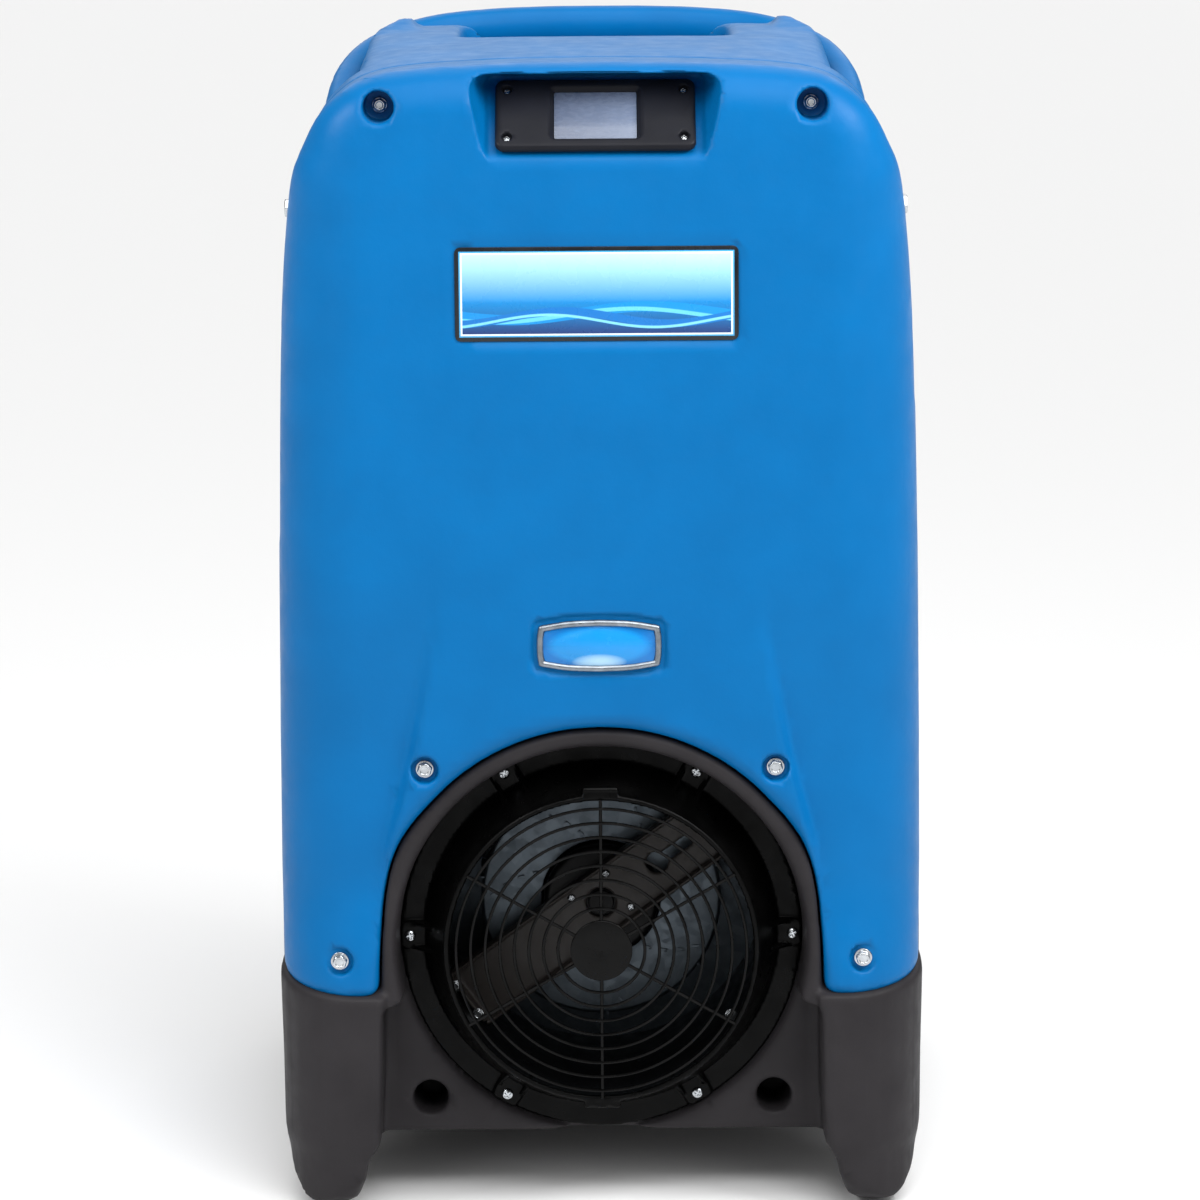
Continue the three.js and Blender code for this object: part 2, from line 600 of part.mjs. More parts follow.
// ---------------------------------------------------------------- screen panel, label, badge
function placeScreenPanel() {
  const { width, height } = PANEL_HALF;
  const screenHole = panelPlate(SCREEN_HALF.width, SCREEN_HALF.height, 1.5, -12, 5);
  place('panel_bezel', onPanel(panelPlate(width, height, 6, -8.6, -1.4)
    .subtract(screenHole)
    .subtract(panelHole(3.3, -12, -4.6))
    .subtract(panelHole(1.9, -12, 5))), bezelPlastic);
  place('panel_gasket', onPanel(panelPlate(width - 3, height - 2.5, 4, -1.1, -0.3)
    .subtract(panelPlate(50, 22.5, 1.5, -3, 3))
    .subtract(panelHole(1.9, -12, 5))), blackRubber);
  place('display_lens', onPanel(
    panelPlate(SCREEN_HALF.width - GAP, SCREEN_HALF.height - GAP, 1.2, -4.9, -3.5)), screenGlass);
  const screenBody = panelPlate(SCREEN_HALF.width - GAP, SCREEN_HALF.height - GAP, 1.2, -3.2, 8);
  const board = block(-46, 46, 8, 9.6, -21, 21);
  place('display_module', onPanel(screenBody.add(board)), boardGreen);
  panelScrewPlaces.forEach(([x, z], index) => {
    place(`panel_screw_${index + 1}`, onPanel(joined([
      rod('y', 2.9, -6.6, -4.9, { x, z }, 10),
      rod('y', 1.5, -5, 7, { x, z }, 8),
    ])), zincSteel);
  });
}

function placeLabelAndBadge() {
  place('name_plate', prismY(
    roundedRectangle(LABEL.halfWidth, LABEL.halfHeight, 4, 2, 0, LABEL.z),
    FRONT + 0.2, FRONT + LABEL.seat - GAP), labelFilm);
  place('badge_frame', badgePlate(0, FRONT, FRONT + BADGE.seat - GAP)
    .subtract(badgePlate(-4, FRONT - 2, FRONT + 1)), silverPlastic);
  place('badge_insert', badgePlate(-4 - GAP, FRONT, FRONT + 0.7), labelFilm);
}

// ---------------------------------------------------------------- cabinet fasteners
function placeShellBolts() {
  onBothSides((side, word) => {
    const pocket = { x: side * pocketBolts.x, z: pocketBolts.z };
    place(`shell_bolt_top_${word}`, joined([
      rod('y', 5, pocketBolts.floorY - 6, pocketBolts.floorY - GAP, pocket, 14),
      rod('y', 3, pocketBolts.floorY - 1, pocketBolts.floorY + 24, pocket, 8),
    ]), zincSteel);
    for (const { name, x, z, seatY } of frontBolts) {
      const at = { x: side * x, z };
      place(`shell_bolt_${name}_${word}`, joined([
        rod('y', 5.8, seatY - 6.5, seatY - 1.3, at, 6),
        rod('y', 8.5, seatY - 1.6, seatY - GAP, at, 16),
        rod('y', 3, seatY - 1, seatY + 18, at, 8),
      ]), zincSteel);
    }
  });
}

// ---------------------------------------------------------------- outlet
function alongRadius(solid, degrees) {
  return solid.rotate([0, -degrees, 0]).translate([0, 0, FAN_HEIGHT]);
}

function makeOutletCollar() {
  const flangeFront = FLANGE_Y - 3;
  const cone = turned('y', [
    [145.5, FLANGE_Y], [145.5, flangeFront], [128.5, flangeFront], [113, FRONT + 4],
    [110, FRONT + 4], [125.5, FLANGE_Y],
  ], { z: FAN_HEIGHT }, 36);
  const tabs = collarScrewAngles.map((degrees) => alongRadius(
    block(131, 144, flangeFront - 4, flangeFront + 1, -9, 9), degrees));
  const ribs = collarScrewAngles.flatMap((degrees) => [-9, 7].map((z) => alongRadius(
    prismZ([[121, flangeFront - 20], [140, flangeFront - 3], [140, flangeFront + 1],
      [126.5, flangeFront + 1]], z, z + 2), degrees)));
  const keys = [90, 270].map((degrees) => alongRadius(
    block(112, 119, FRONT + 5, FRONT + 13, -13, 13), degrees));
  const holes = joined(collarScrewAngles.map((degrees) => (
    rod('y', 2.3, FRONT, FRONT + 80, collarScrewPlace(degrees), 8))));
  return joined([cone, ...tabs, ...ribs, ...keys]).subtract(holes);
}

const GUARD_FRONT = FRONT + 0.4;
const GUARD_BACK = FRONT + 3.6;

function makeFingerGuard() {
  const rings = [];
  for (let k = 0; k < 8; k += 1) {
    const radius = 31.2 + 10.45 * k;
    rings.push(turned('y', [
      [radius - 1.2, GUARD_FRONT], [radius + 1.2, GUARD_FRONT],
      [radius + 1.2, GUARD_BACK - 0.8], [radius - 1.2, GUARD_BACK - 0.8],
    ], { z: FAN_HEIGHT }, 16));
  }
  const spokes = [30, 90, 150, 210, 270, 330].map((degrees) => alongRadius(
    block(10, 112, GUARD_FRONT + 0.8, GUARD_BACK, -1.3, 1.3), degrees));
  const hub = rod('y', 22.2, GUARD_FRONT, GUARD_BACK, { z: FAN_HEIGHT }, 16);
  return joined([hub, ...spokes, ...rings]);
}

function placeOutlet() {
  place('outlet_collar', makeOutletCollar(), blackPlastic);
  place('finger_guard', makeFingerGuard(), blackWire);
  collarScrewAngles.forEach((degrees, index) => {
    const at = collarScrewPlace(degrees);
    const tabFront = FLANGE_Y - 7;
    place(`collar_screw_${index + 1}`, joined([
      rod('y', 4.2, tabFront - 2.9, tabFront - GAP, at, 12),
      rod('y', 1.9, tabFront - 1, tabFront + 18, at, 8),
    ]), zincSteel);
  });
}

// ---------------------------------------------------------------- fan
const SHROUD_FRONT = FRONT + 60.6;
const BULKHEAD_Y = FRONT + 217;
const BRACKET_Y = FRONT + 138;
const FAN_PLATE_Y = FRONT + 153;

function placeFan() {
  const axisAt = { z: FAN_HEIGHT };
  place('fan_shroud', turned('y', [
    [127, SHROUD_FRONT], [134, SHROUD_FRONT], [134, SHROUD_FRONT + 2], [129.5, SHROUD_FRONT + 2],
    [129.5, BULKHEAD_Y - GAP], [127, BULKHEAD_Y - GAP],
  ], axisAt, 32), galvanisedSteel);

  const strap = alongRadius(block(-126, 126, BRACKET_Y, BRACKET_Y + 3, -24, 24), 36);
  const tabs = [36, 216].map((degrees) => alongRadius(
    block(122.5, 125.5, BRACKET_Y - 18, BRACKET_Y + 1, -18, 18), degrees));
  place('motor_bracket', joined([strap, ...tabs])
    .intersect(rod('y', 126.1, BRACKET_Y - 30, BRACKET_Y + 10, axisAt, 40))
    .subtract(rod('y', 11, BRACKET_Y - 5, BRACKET_Y + 5, axisAt, 20)), blackEnamel);

  const motorFront = BRACKET_Y + 3 + GAP;
  place('fan_motor', joined([
    rod('y', 43, motorFront, motorFront + 60, axisAt, 24),
    rod('y', 10, motorFront - 4, motorFront + 5, axisAt, 16),
  ]), castAluminium);

  const plate = rod('y', 90.5, FAN_PLATE_Y, FAN_PLATE_Y + 1.5, axisAt, 28);
  const cup = rod('y', 47, FAN_PLATE_Y, FAN_PLATE_Y + 52, axisAt, 20);
  const bladeAngles = [0, 1, 2, 3, 4, 5, 6].map((k) => (k * 360) / 7);
  const blades = bladeAngles.map((degrees) => alongRadius(
    prismY([[45, -1], [89, 24], [88, 26.5], [44, 2]], FAN_PLATE_Y + 1, FAN_PLATE_Y + 56), degrees));
  const inletRing = turned('y', [
    [66, FAN_PLATE_Y + 55], [90, FAN_PLATE_Y + 55], [90, FAN_PLATE_Y + 56.5],
    [66, FAN_PLATE_Y + 56.5],
  ], axisAt, 28);
  place('fan_impeller', joined([plate, cup, ...blades, inletRing])
    .subtract(rod('y', 44.2, FAN_PLATE_Y - 5, FAN_PLATE_Y + 80, axisAt, 24)), galvanisedSteel);

  const inletLip = turned('y', [
    [60, BULKHEAD_Y - 6], [62, BULKHEAD_Y - 6], [72, BULKHEAD_Y + 1], [72, BULKHEAD_Y + 3],
    [69, BULKHEAD_Y + 3],
  ], axisAt, 28);
  place('fan_bulkhead', block(-200, 200, BULKHEAD_Y, BULKHEAD_Y + 3, 58, 600)
    .subtract(rod('y', 70, BULKHEAD_Y - 5, BULKHEAD_Y + 10, axisAt, 28))
    .add(inletLip), galvanisedSteel);
}

// ---------------------------------------------------------------- refrigeration and electrics
const TRAY = { halfWidth: 165, front: 4, back: 123, bottom: 404, top: 420 };

function makeCoil(front, back, halfWidth) {
  const body = block(-halfWidth, halfWidth, front, back, TRAY.bottom + 3, 728);
  const bends = [];
  for (let z = TRAY.bottom + 45; z < 700; z += 60) {
    bends.push(rod('y', 7, front + 4, back - 4, { x: -halfWidth - 1, z }, 8));
  }
  return joined([body, ...bends]);
}

function tubeThrough(points, radius, steps) {
  const section = new THREE.Shape();
  section.absellipse(0, 0, radius, radius, 0, 2 * Math.PI);
  const path = new THREE.CatmullRomCurve3(points.map((point) => new THREE.Vector3(...point)));
  return solidFrom(new THREE.ExtrudeGeometry(section, {
    steps, curveSegments: 2, extrudePath: path,
  }));
}

function placeRefrigeration() {
  place('evaporator_coil', makeCoil(90, 121, 148), finAluminium);
  place('heat_exchanger', block(-150, 150, 48, 89, TRAY.bottom + 3, 728), finAluminium);
  place('condenser_coil', makeCoil(8, 47, 148), finAluminium);
  const { halfWidth, front, back, bottom, top } = TRAY;
  place('drip_tray', block(-halfWidth, halfWidth, front, back, bottom, top)
    .subtract(block(-halfWidth + 2, halfWidth - 2, front + 2, back - 0.7, bottom + 2.5, top + 5)),
    blackPlastic);

  const can = { x: -80, y: 40 };
  place('compressor', turned('z', [
    [0, 280], [38, 274], [62, 255], [70, 235], [70, 88], [62, 72], [40, 66], [0, 64],
  ], can, 28)
    .add(block(can.x - 66, can.x + 66, can.y - 55, can.y + 55, 54.3, 67)), blackEnamel);
  place('accumulator', turned('z', [
    [0, 232], [20, 226], [28, 212], [28, 84], [18, 70], [0, 66],
  ], { x: 30, y: 60 }, 20), blackEnamel);
  place('discharge_line', tubeThrough([
    [-80, 40, 280.6], [-80, 38, 320], [-110, 20, 350], [-168, 4, 380], [-176, 26, 440],
    [-175, 27, 560], [-172, 27, 650],
  ], 4.5, 22), copper);
  place('suction_line', tubeThrough([
    [30, 60, 232.5], [30, 62, 300], [80, 90, 345], [172, 104, 366], [180, 105, 430],
    [178, 105, 520],
  ], 6, 18), copper);
  place('condensate_pump', joined([
    block(85, 175, 10, 80, 54.3, 130),
    rod('z', 22, 129, 175, { x: 130, y: 45 }, 16),
  ]), blackPlastic);
}

function placeElectrics() {
  place('electrical_box', block(-90, 60, FRONT + 40, FRONT + 110, 560, 720)
    .subtract(block(-87, 57, FRONT + 36, FRONT + 107, 563, 717)), galvanisedSteel);
}

// ---------------------------------------------------------------- rear: filter, fittings, wrap
function placeFilter() {
  const { halfWidth, bottom, top, front, back } = FILTER;
  const openings = [];
  for (let column = 0; column < 4; column += 1) {
    for (let row = 0; row < 4; row += 1) {
      const x = -142 + column * 72;
      const z = bottom + 9 + row * 71;
      openings.push(block(x, x + 68, front - 10, front + 2, z, z + 66));
    }
  }
  place('intake_frame', block(-halfWidth - 6, halfWidth + 6, front - 6.5, BACK - WALL - GAP,
    bottom - 5, top + 6)
    .subtract(block(-halfWidth, halfWidth, front - 3.5, back + 10, bottom, top))
    .subtract(joined(openings)), blackPlastic);
  const media = block(-halfWidth + GAP, halfWidth - GAP, front, back, bottom + GAP, top - GAP);
  const tab = block(-18, 18, back - 2, back + 6, top - 40, top - 37);
  place('air_filter', media.add(tab), filterMedia);
}

function placeRearFittings() {
  const wallBack = BACK + GAP;
  place('cord_gland', turned('y', [
    [5, wallBack - 14], [10.6, wallBack - 14], [10.6, wallBack], [16, wallBack],
    [16, wallBack + 6], [11, wallBack + 7], [9, wallBack + 16], [5, wallBack + 16],
  ], { x: -120, z: 300 }, 14), blackPlastic);
  place('drain_barb', turned('y', [
    [4, wallBack - 14], [8.6, wallBack - 14], [8.6, wallBack], [14, wallBack], [14, wallBack + 5],
    [6.5, wallBack + 6], [7.6, wallBack + 14], [6, wallBack + 20], [7.6, wallBack + 20],
    [5.6, wallBack + 30], [4, wallBack + 30],
  ], { x: 120, z: 300 }, 14), blackPlastic);
  const plate = block(-62, 62, wallBack, wallBack + 5, 330, 392);
  const hooks = mirrored((side) => prismX([
    [wallBack + 2, 352], [265, 352], [265, 398], [258, 398], [256, 362], [wallBack + 2, 362],
  ], -4, 4).translate([side * 44, 0, 0]).add(prismX([
    [wallBack + 2, 342], [wallBack + 40, 352.5], [wallBack + 2, 352.5],
  ], -3, 3).translate([side * 44, 0, 0])));
  place('cord_wrap', plate.add(hooks), blackPlastic);
}

// ---------------------------------------------------------------- wheels
function placeWheels() {
  const axleAt = { y: WHEEL_Y, z: WHEEL_RADIUS };
  place('axle', rod('x', AXLE_RADIUS, -WHEEL_OUTER - 2, WHEEL_OUTER + 2, axleAt, 20), zincSteel);
  onBothSides((side, word) => {
    const along = (profile) => profile.map(([radius, x]) => [radius, side * x]);
    place(`wheel_hub_${word}`, turned('x', along([
      [AXLE_RADIUS + GAP, WHEEL_INNER], [20, WHEEL_INNER], [22, 222], [84, 222], [86, 208],
      [90.5, 208], [90.5, 247], [86, 247], [84, 230], [22, 230], [20, WHEEL_OUTER],
      [AXLE_RADIUS + GAP, WHEEL_OUTER],
    ]), axleAt, 24), silverPlastic);
    place(`tyre_${word}`, turned('x', along([
      [92, 207], [104, WHEEL_INNER], [120, 209], [WHEEL_RADIUS, 218], [WHEEL_RADIUS, 237],
      [120, 246], [104, WHEEL_OUTER], [92, 248],
    ]), axleAt, 32), blackRubber);
    place(`axle_cap_${word}`, turned('x', along([
      [0, WHEEL_OUTER + 5], [9, WHEEL_OUTER + 4.4], [14, WHEEL_OUTER + 1.5],
      [14, WHEEL_OUTER + GAP], [AXLE_RADIUS + GAP, WHEEL_OUTER + GAP],
      [AXLE_RADIUS + GAP, WHEEL_OUTER + 2.3], [0, WHEEL_OUTER + 2.3],
    ]), axleAt, 16), zincSteel);
  });
}

place('front_shell', makeFrontShell(), bluePlastic);
place('rear_shell', makeRearShell(), bluePlastic);
place('base', makeBase(), greyPlastic);
placeHandle();
placeScreenPanel();
placeLabelAndBadge();
placeShellBolts();
placeOutlet();
placeFan();
placeRefrigeration();
placeElectrics();
placeFilter();
placeRearFittings();
placeWheels();

export default machine;
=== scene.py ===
"""Looks of the commercial dehumidifier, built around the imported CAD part.

Shapes are worked out in millimetres and handed to Blender in metres. The moulded shells are
made from distance fields: a field holds the distance of every grid point from the surface,
negative inside, so that rounded joins and an even wall come from simple arithmetic.
"""
import json
import math

import bmesh
import bpy
import numpy as np
import openvdb
from mathutils import Matrix, Vector

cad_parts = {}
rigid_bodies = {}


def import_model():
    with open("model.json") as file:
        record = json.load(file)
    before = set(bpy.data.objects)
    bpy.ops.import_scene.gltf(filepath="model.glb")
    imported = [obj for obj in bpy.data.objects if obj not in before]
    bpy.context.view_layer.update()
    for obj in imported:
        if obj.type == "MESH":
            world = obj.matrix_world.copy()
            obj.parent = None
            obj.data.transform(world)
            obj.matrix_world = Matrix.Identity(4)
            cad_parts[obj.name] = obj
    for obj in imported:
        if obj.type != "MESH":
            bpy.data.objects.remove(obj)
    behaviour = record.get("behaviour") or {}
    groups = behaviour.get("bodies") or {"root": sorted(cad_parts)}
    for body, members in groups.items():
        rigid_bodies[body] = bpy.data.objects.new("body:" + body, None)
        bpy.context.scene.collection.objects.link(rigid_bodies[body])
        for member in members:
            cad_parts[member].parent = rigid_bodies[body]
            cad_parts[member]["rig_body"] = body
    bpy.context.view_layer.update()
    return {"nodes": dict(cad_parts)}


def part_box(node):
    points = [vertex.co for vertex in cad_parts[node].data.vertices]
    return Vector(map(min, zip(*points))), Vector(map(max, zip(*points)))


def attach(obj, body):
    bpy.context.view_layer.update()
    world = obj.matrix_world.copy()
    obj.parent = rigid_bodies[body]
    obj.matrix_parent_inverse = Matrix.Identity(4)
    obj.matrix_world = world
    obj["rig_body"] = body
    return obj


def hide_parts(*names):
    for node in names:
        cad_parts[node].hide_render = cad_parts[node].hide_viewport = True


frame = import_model()

MM = 0.001


# ---------------------------------------------------------------- places taken from the frame
def corners(node):
    """Lowest and highest corner of a CAD node in millimetres."""
    low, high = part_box(node)
    return np.array(low) / MM, np.array(high) / MM


def middle(node):
    low, high = corners(node)
    return (low + high) / 2


FRONT = corners("base")[0][1]
BACK = corners("rear_shell")[1][1]
FAN_HEIGHT = middle("outlet_collar")[2]
PIVOT_Y, PIVOT_Z = middle("handle_bolt_left")[1:]
WHEEL_Y, WHEEL_Z = middle("axle")[1:]
FLOOR_HEIGHT = 49.0        # underside of the base between the feet
WALL = 5.0                 # rotomoulded wall
RETURN = 16.0              # depth of the folded-in edges of the shells
SEAM_SIDE = -155.0
SEAM_TOP = -185.0
SKIRT_FRONT = 162.0
SKIRT_SIDE = 174.0
SEAM_GAP = 0.3
PANEL_Y = FRONT + 45       # lower front panel between the feet
PANEL_Y_CENTRE = FRONT + 25.7      # middle of the screen bezel
PANEL_Z_CENTRE = 789.7
ARCH_RADIUS = 162.0
DECK_HALF = 172.5
DECK_CREST_Y = 55.0
DECK_REAR_Y = 118.0
BOSS_RADIUS = 33.0
WELL_RADIUS = 138.0
WELL_INNER = 198.0
HANDLE_REST = math.radians(22.9)
POCKETS = (150.5, 801.0)   # top bolt pockets, from the middle and above the floor
POCKET_FLOOR = FRONT + 32
MID_BOLTS = (125.0, 331.0)
LOW_BOLTS = (188.0, 190.0)
MID_SEAT = FRONT + 8.2      # where the bolt heads sit
LOW_SEAT = FRONT + 8.7
BLIND_HOLE = (125.5, 76.0)  # round pocket between foot and outlet
BADGE_Z = middle("badge_frame")[2]
LABEL_Z = middle("name_plate")[2]


# ---------------------------------------------------------------- distance fields
class Grid:
    """Sample places. A mirrored grid starts at x = 0 and is completed to the other side."""

    def __init__(self, low, high, voxel, mirror=True):
        self.low = np.array(low, float)
        self.voxel = voxel
        self.mirror = mirror
        axes = [np.arange(a, b + voxel, voxel) for a, b in zip(low, high)]
        self.x = axes[0][:, None, None]
        self.y = axes[1][None, :, None]
        self.z = axes[2][None, None, :]


def join(a, b, blend=0.0):
    """The union of two fields, with a fillet of about that size."""
    if blend <= 0:
        return np.minimum(a, b)
    h = np.maximum(blend - np.abs(a - b), 0) / blend
    return np.minimum(a, b) - h * h * blend / 4


def common(a, b, blend=0.0):
    return -join(-a, -b, blend)


def without(a, b, blend=0.0):
    return common(a, -b, blend)


def smoothstep(value, start, end):
    t = np.clip((value - start) / (end - start), 0, 1)
    return t * t * (3 - 2 * t)


def polygon(u, v, points):
    """Signed distance from a closed outline."""
    shape = np.broadcast(u, v).shape
    best = np.full(shape, 1e9)
    inside = np.zeros(shape, bool)
    outline = np.array(points, float)
    for (au, av), (bu, bv) in zip(outline, np.roll(outline, -1, axis=0)):
        du, dv = bu - au, bv - av
        length = du * du + dv * dv
        if length < 1e-9:
            continue
        t = np.clip(((u - au) * du + (v - av) * dv) / length, 0, 1)
        best = np.minimum(best, (u - au - t * du) ** 2 + (v - av - t * dv) ** 2)
        if abs(dv) > 1e-9:
            crosses = ((av > v) != (bv > v)) & (u < au + (v - av) * du / dv)
            inside = inside ^ crosses
    return np.where(inside, -1, 1) * np.sqrt(best)


def polyline(u, v, points):
    """Distance from an open line."""
    best = np.full(np.broadcast(u, v).shape, 1e9)
    for (au, av), (bu, bv) in zip(points[:-1], points[1:]):
        du, dv = bu - au, bv - av
        t = np.clip(((u - au) * du + (v - av) * dv) / (du * du + dv * dv), 0, 1)
        best = np.minimum(best, (u - au - t * du) ** 2 + (v - av - t * dv) ** 2)
    return np.sqrt(best)


def slab(value, low, high):
    return np.maximum(low - value, value - high)


def rounded_box(u, v, half_u, half_v, radius):
    a = np.abs(u) - half_u + radius
    b = np.abs(v) - half_v + radius
    return np.hypot(np.maximum(a, 0), np.maximum(b, 0)) + np.minimum(np.maximum(a, b), 0) - radius


def curve_through(points, steps=12):
    """A smooth line through points (Catmull-Rom, as the CAD outlines are)."""
    p = np.array(points, float)
    p = np.vstack([2 * p[0] - p[1], p, 2 * p[-1] - p[-2]])
    line = []
    for i in range(1, len(p) - 2):
        for t in np.arange(steps) / steps:
            a, b, c, d = p[i - 1], p[i], p[i + 1], p[i + 2]
            line.append(0.5 * (2 * b + (c - a) * t + (2 * a - 5 * b + 4 * c - d) * t ** 2
                               + (3 * b - a - 3 * c + d) * t ** 3))
    line.append(p[-2])
    return np.array(line)


def sample(field, low, voxel, places):
    """The field between its grid points."""
    at = (places - low) / voxel
    cell = np.clip(np.floor(at).astype(int), 0, np.array(field.shape) - 2)
    f = np.clip(at - cell, 0, 1)
    i, j, k = cell.T
    total = 0
    for di in (0, 1):
        for dj in (0, 1):
            for dk in (0, 1):
                weight = (f[:, 0] if di else 1 - f[:, 0])
                weight = weight * (f[:, 1] if dj else 1 - f[:, 1])
                weight = weight * (f[:, 2] if dk else 1 - f[:, 2])
                total = total + weight * field[i + di, j + dj, k + dk]
    return total


def mesh_of(name, grid, field, adaptivity=0.0, placing=None):
    """The surface of a field as a smooth-shaded mesh in metres."""
    field = np.array(np.broadcast_to(field, (grid.x.size, grid.y.size, grid.z.size)))
    low = grid.low.copy()
    if grid.mirror:
        low[0] = -grid.voxel * (field.shape[0] - 1)
        field = np.concatenate([field[:0:-1], field])
    limit = 4 * grid.voxel
    level = openvdb.FloatGrid(background=limit)
    level.copyFromArray(np.clip(field, -limit, limit).astype(np.float32))
    points, triangles, quads = level.convertToPolygons(0.0, adaptivity)
    places = low + points.astype(float) * grid.voxel
    step = grid.voxel * 0.75
    normals = np.empty_like(places)
    for axis in range(3):
        shift = np.zeros(3)
        shift[axis] = step
        ahead = sample(field, low, grid.voxel, places + shift)
        normals[:, axis] = ahead - sample(field, low, grid.voxel, places - shift)
    normals /= np.maximum(np.linalg.norm(normals, axis=1), 1e-9)[:, None]
    faces = [tuple(face) for face in quads.tolist()] + [tuple(face) for face in triangles.tolist()]
    a, b, c = (places[[face[i] for face in faces]] for i in range(3))
    outward = np.einsum("ij,ij->i", np.cross(b - a, c - a), normals[[f[0] for f in faces]]).sum()
    if outward < 0:
        faces = [face[::-1] for face in faces]
    if placing is not None:
        matrix = np.array(placing)
        places = places @ matrix[:3, :3].T + matrix[:3, 3]
        normals = normals @ matrix[:3, :3].T
    mesh = bpy.data.meshes.new(name)
    mesh.from_pydata((places * MM).tolist(), [], faces)
    mesh.shade_smooth()
    mesh.normals_split_custom_set_from_vertices(normals.tolist())
    return mesh


# ---------------------------------------------------------------- cabinet form
FRONT_OUTLINE = curve_through([
    (231.5, 350), (226.2, 600), (217.6, 730), (203.5, 776), (183, 806), (150, 823), (80, 829),
    (0, 830.5)])
REAR_OUTLINE = curve_through([
    (231.5, 350), (226.2, 600), (218, 730), (208.5, 776), (195, 812), (172, 835), (90, 838),
    (0, 838)])
LOWER_SIDE = [(229.6, -80), (230.4, 110), (231.4, 165), (232.4, 250)]


def section_distance(grid, half_outline):
    half = LOWER_SIDE + [tuple(point) for point in half_outline]
    whole = half + [(-x, z) for x, z in half[::-1]]
    return polygon(grid.x, grid.z, whole)


def crease(z):
    """Half width of the raised hood above the outlet, which ends in a soft crease."""
    return np.interp(z, [150, 273, 339, 426, 520], [165, 149, 131.6, 115, 103])


def cabinet(grid):
    """The whole outer form, before anything is cut from it."""
    front = section_distance(grid, FRONT_OUTLINE)
    rear = section_distance(grid, REAR_OUTLINE)
    blend = np.clip((grid.y - SEAM_TOP) / (DECK_CREST_Y - SEAM_TOP), 0, 1)
    side = front + (rear - front) * blend
    radius = 60 - 30 * smoothstep(grid.z, 700, 812)
    beside = smoothstep(np.abs(grid.x) - crease(grid.z), -1, 8)
    fall = 9.0 * smoothstep(grid.z, 480, 320) * beside * smoothstep(grid.z, 165, 250)
    face = FRONT + fall
    u = np.maximum(side + radius, 0)
    v = np.maximum(face - grid.y + radius, 0)
    inner = np.minimum(np.maximum(side + radius, face - grid.y + radius), 0)
    form = inner + np.hypot(u, v) - radius
    behind = grid.y - BACK + 30
    u = np.maximum(side + 30, 0)
    rounded = np.minimum(np.maximum(side + 30, behind), 0) + np.hypot(u, np.maximum(behind, 0)) - 30
    return np.maximum(form, rounded)


def skirt(grid):
    """Positive above the lower edge of the shells."""
    rise = np.clip((grid.y - FRONT) / 70, 0, 1)
    return grid.z - (SKIRT_FRONT + (SKIRT_SIDE - SKIRT_FRONT) * rise)


def arch(grid, inset=0.0):
    """The outlet arch: round above, then down along the legs."""
    top = [(ARCH_RADIUS * math.cos(math.radians(a)), FAN_HEIGHT + ARCH_RADIUS
            * math.sin(math.radians(a))) for a in range(42, 91, 6)]
    right = curve_through([(161, 40), (161, 100), (160, 170), (158.8, 199), (156.8, 225),
                           (154.2, 244), (150, 262), (143, 278), (132.5, 293)] + top, 4).tolist()
    outline = right + [(-x, z) for x, z in right[-2::-1]]
    return polygon(grid.x, grid.z, outline) + inset


def seam(grid):
    """Negative on the front shell's side of the seam."""
    edge = np.interp(grid.z, [760, 812], [SEAM_SIDE, SEAM_TOP])
    lean = np.where((grid.z > 760) & (grid.z < 812), math.cos(math.atan(30 / 52)), 1.0)
    return (grid.y - edge) * lean


def dish(grid, place, radius, floor):
    x, z = place
    return np.maximum(np.hypot(grid.x - x, grid.z - z) - radius, grid.y - floor)


def shelled(detailed, trimmed):
    """An even wall under the surface, open wherever it is deeper than the returns."""
    wall = np.maximum(trimmed, -(trimmed + WALL))
    return common(wall, -(detailed + RETURN), 2)


SCREEN_TIP = 764.0
SCREEN_ROOF = 822.5


def screen_recess(grid):
    """The tray around the screen: floor leaning back, sloped sides, low roof."""
    floor = ((grid.y - FRONT) - (grid.z - SCREEN_TIP)) * math.sqrt(0.5)
    flare = np.clip(-floor / 34, 0, 1.3) ** 0.7
    side = (np.abs(grid.x) - 75 - 13 * flare) * 0.93
    roof = grid.z - SCREEN_ROOF
    return common(common(side, floor, 2), roof, 12)


def badge_outline(grow=0.0):
    w = corners("badge_frame")[1][0] - 1.8 + grow
    h = (corners("badge_frame")[1][2] - BADGE_Z) - 1.2 + grow
    quarter = curve_through([(w, 0), (w - 0.3, 0.4 * h), (w - 1.4, 0.74 * h)], 3).tolist()
    quarter += curve_through([(w - 3, 0.79 * h), (0.5 * w, 0.95 * h), (0, h)], 5).tolist()
    right = [(x, -z) for x, z in quarter[::-1]] + quarter
    return right + [(-x, z) for x, z in right[::-1]]


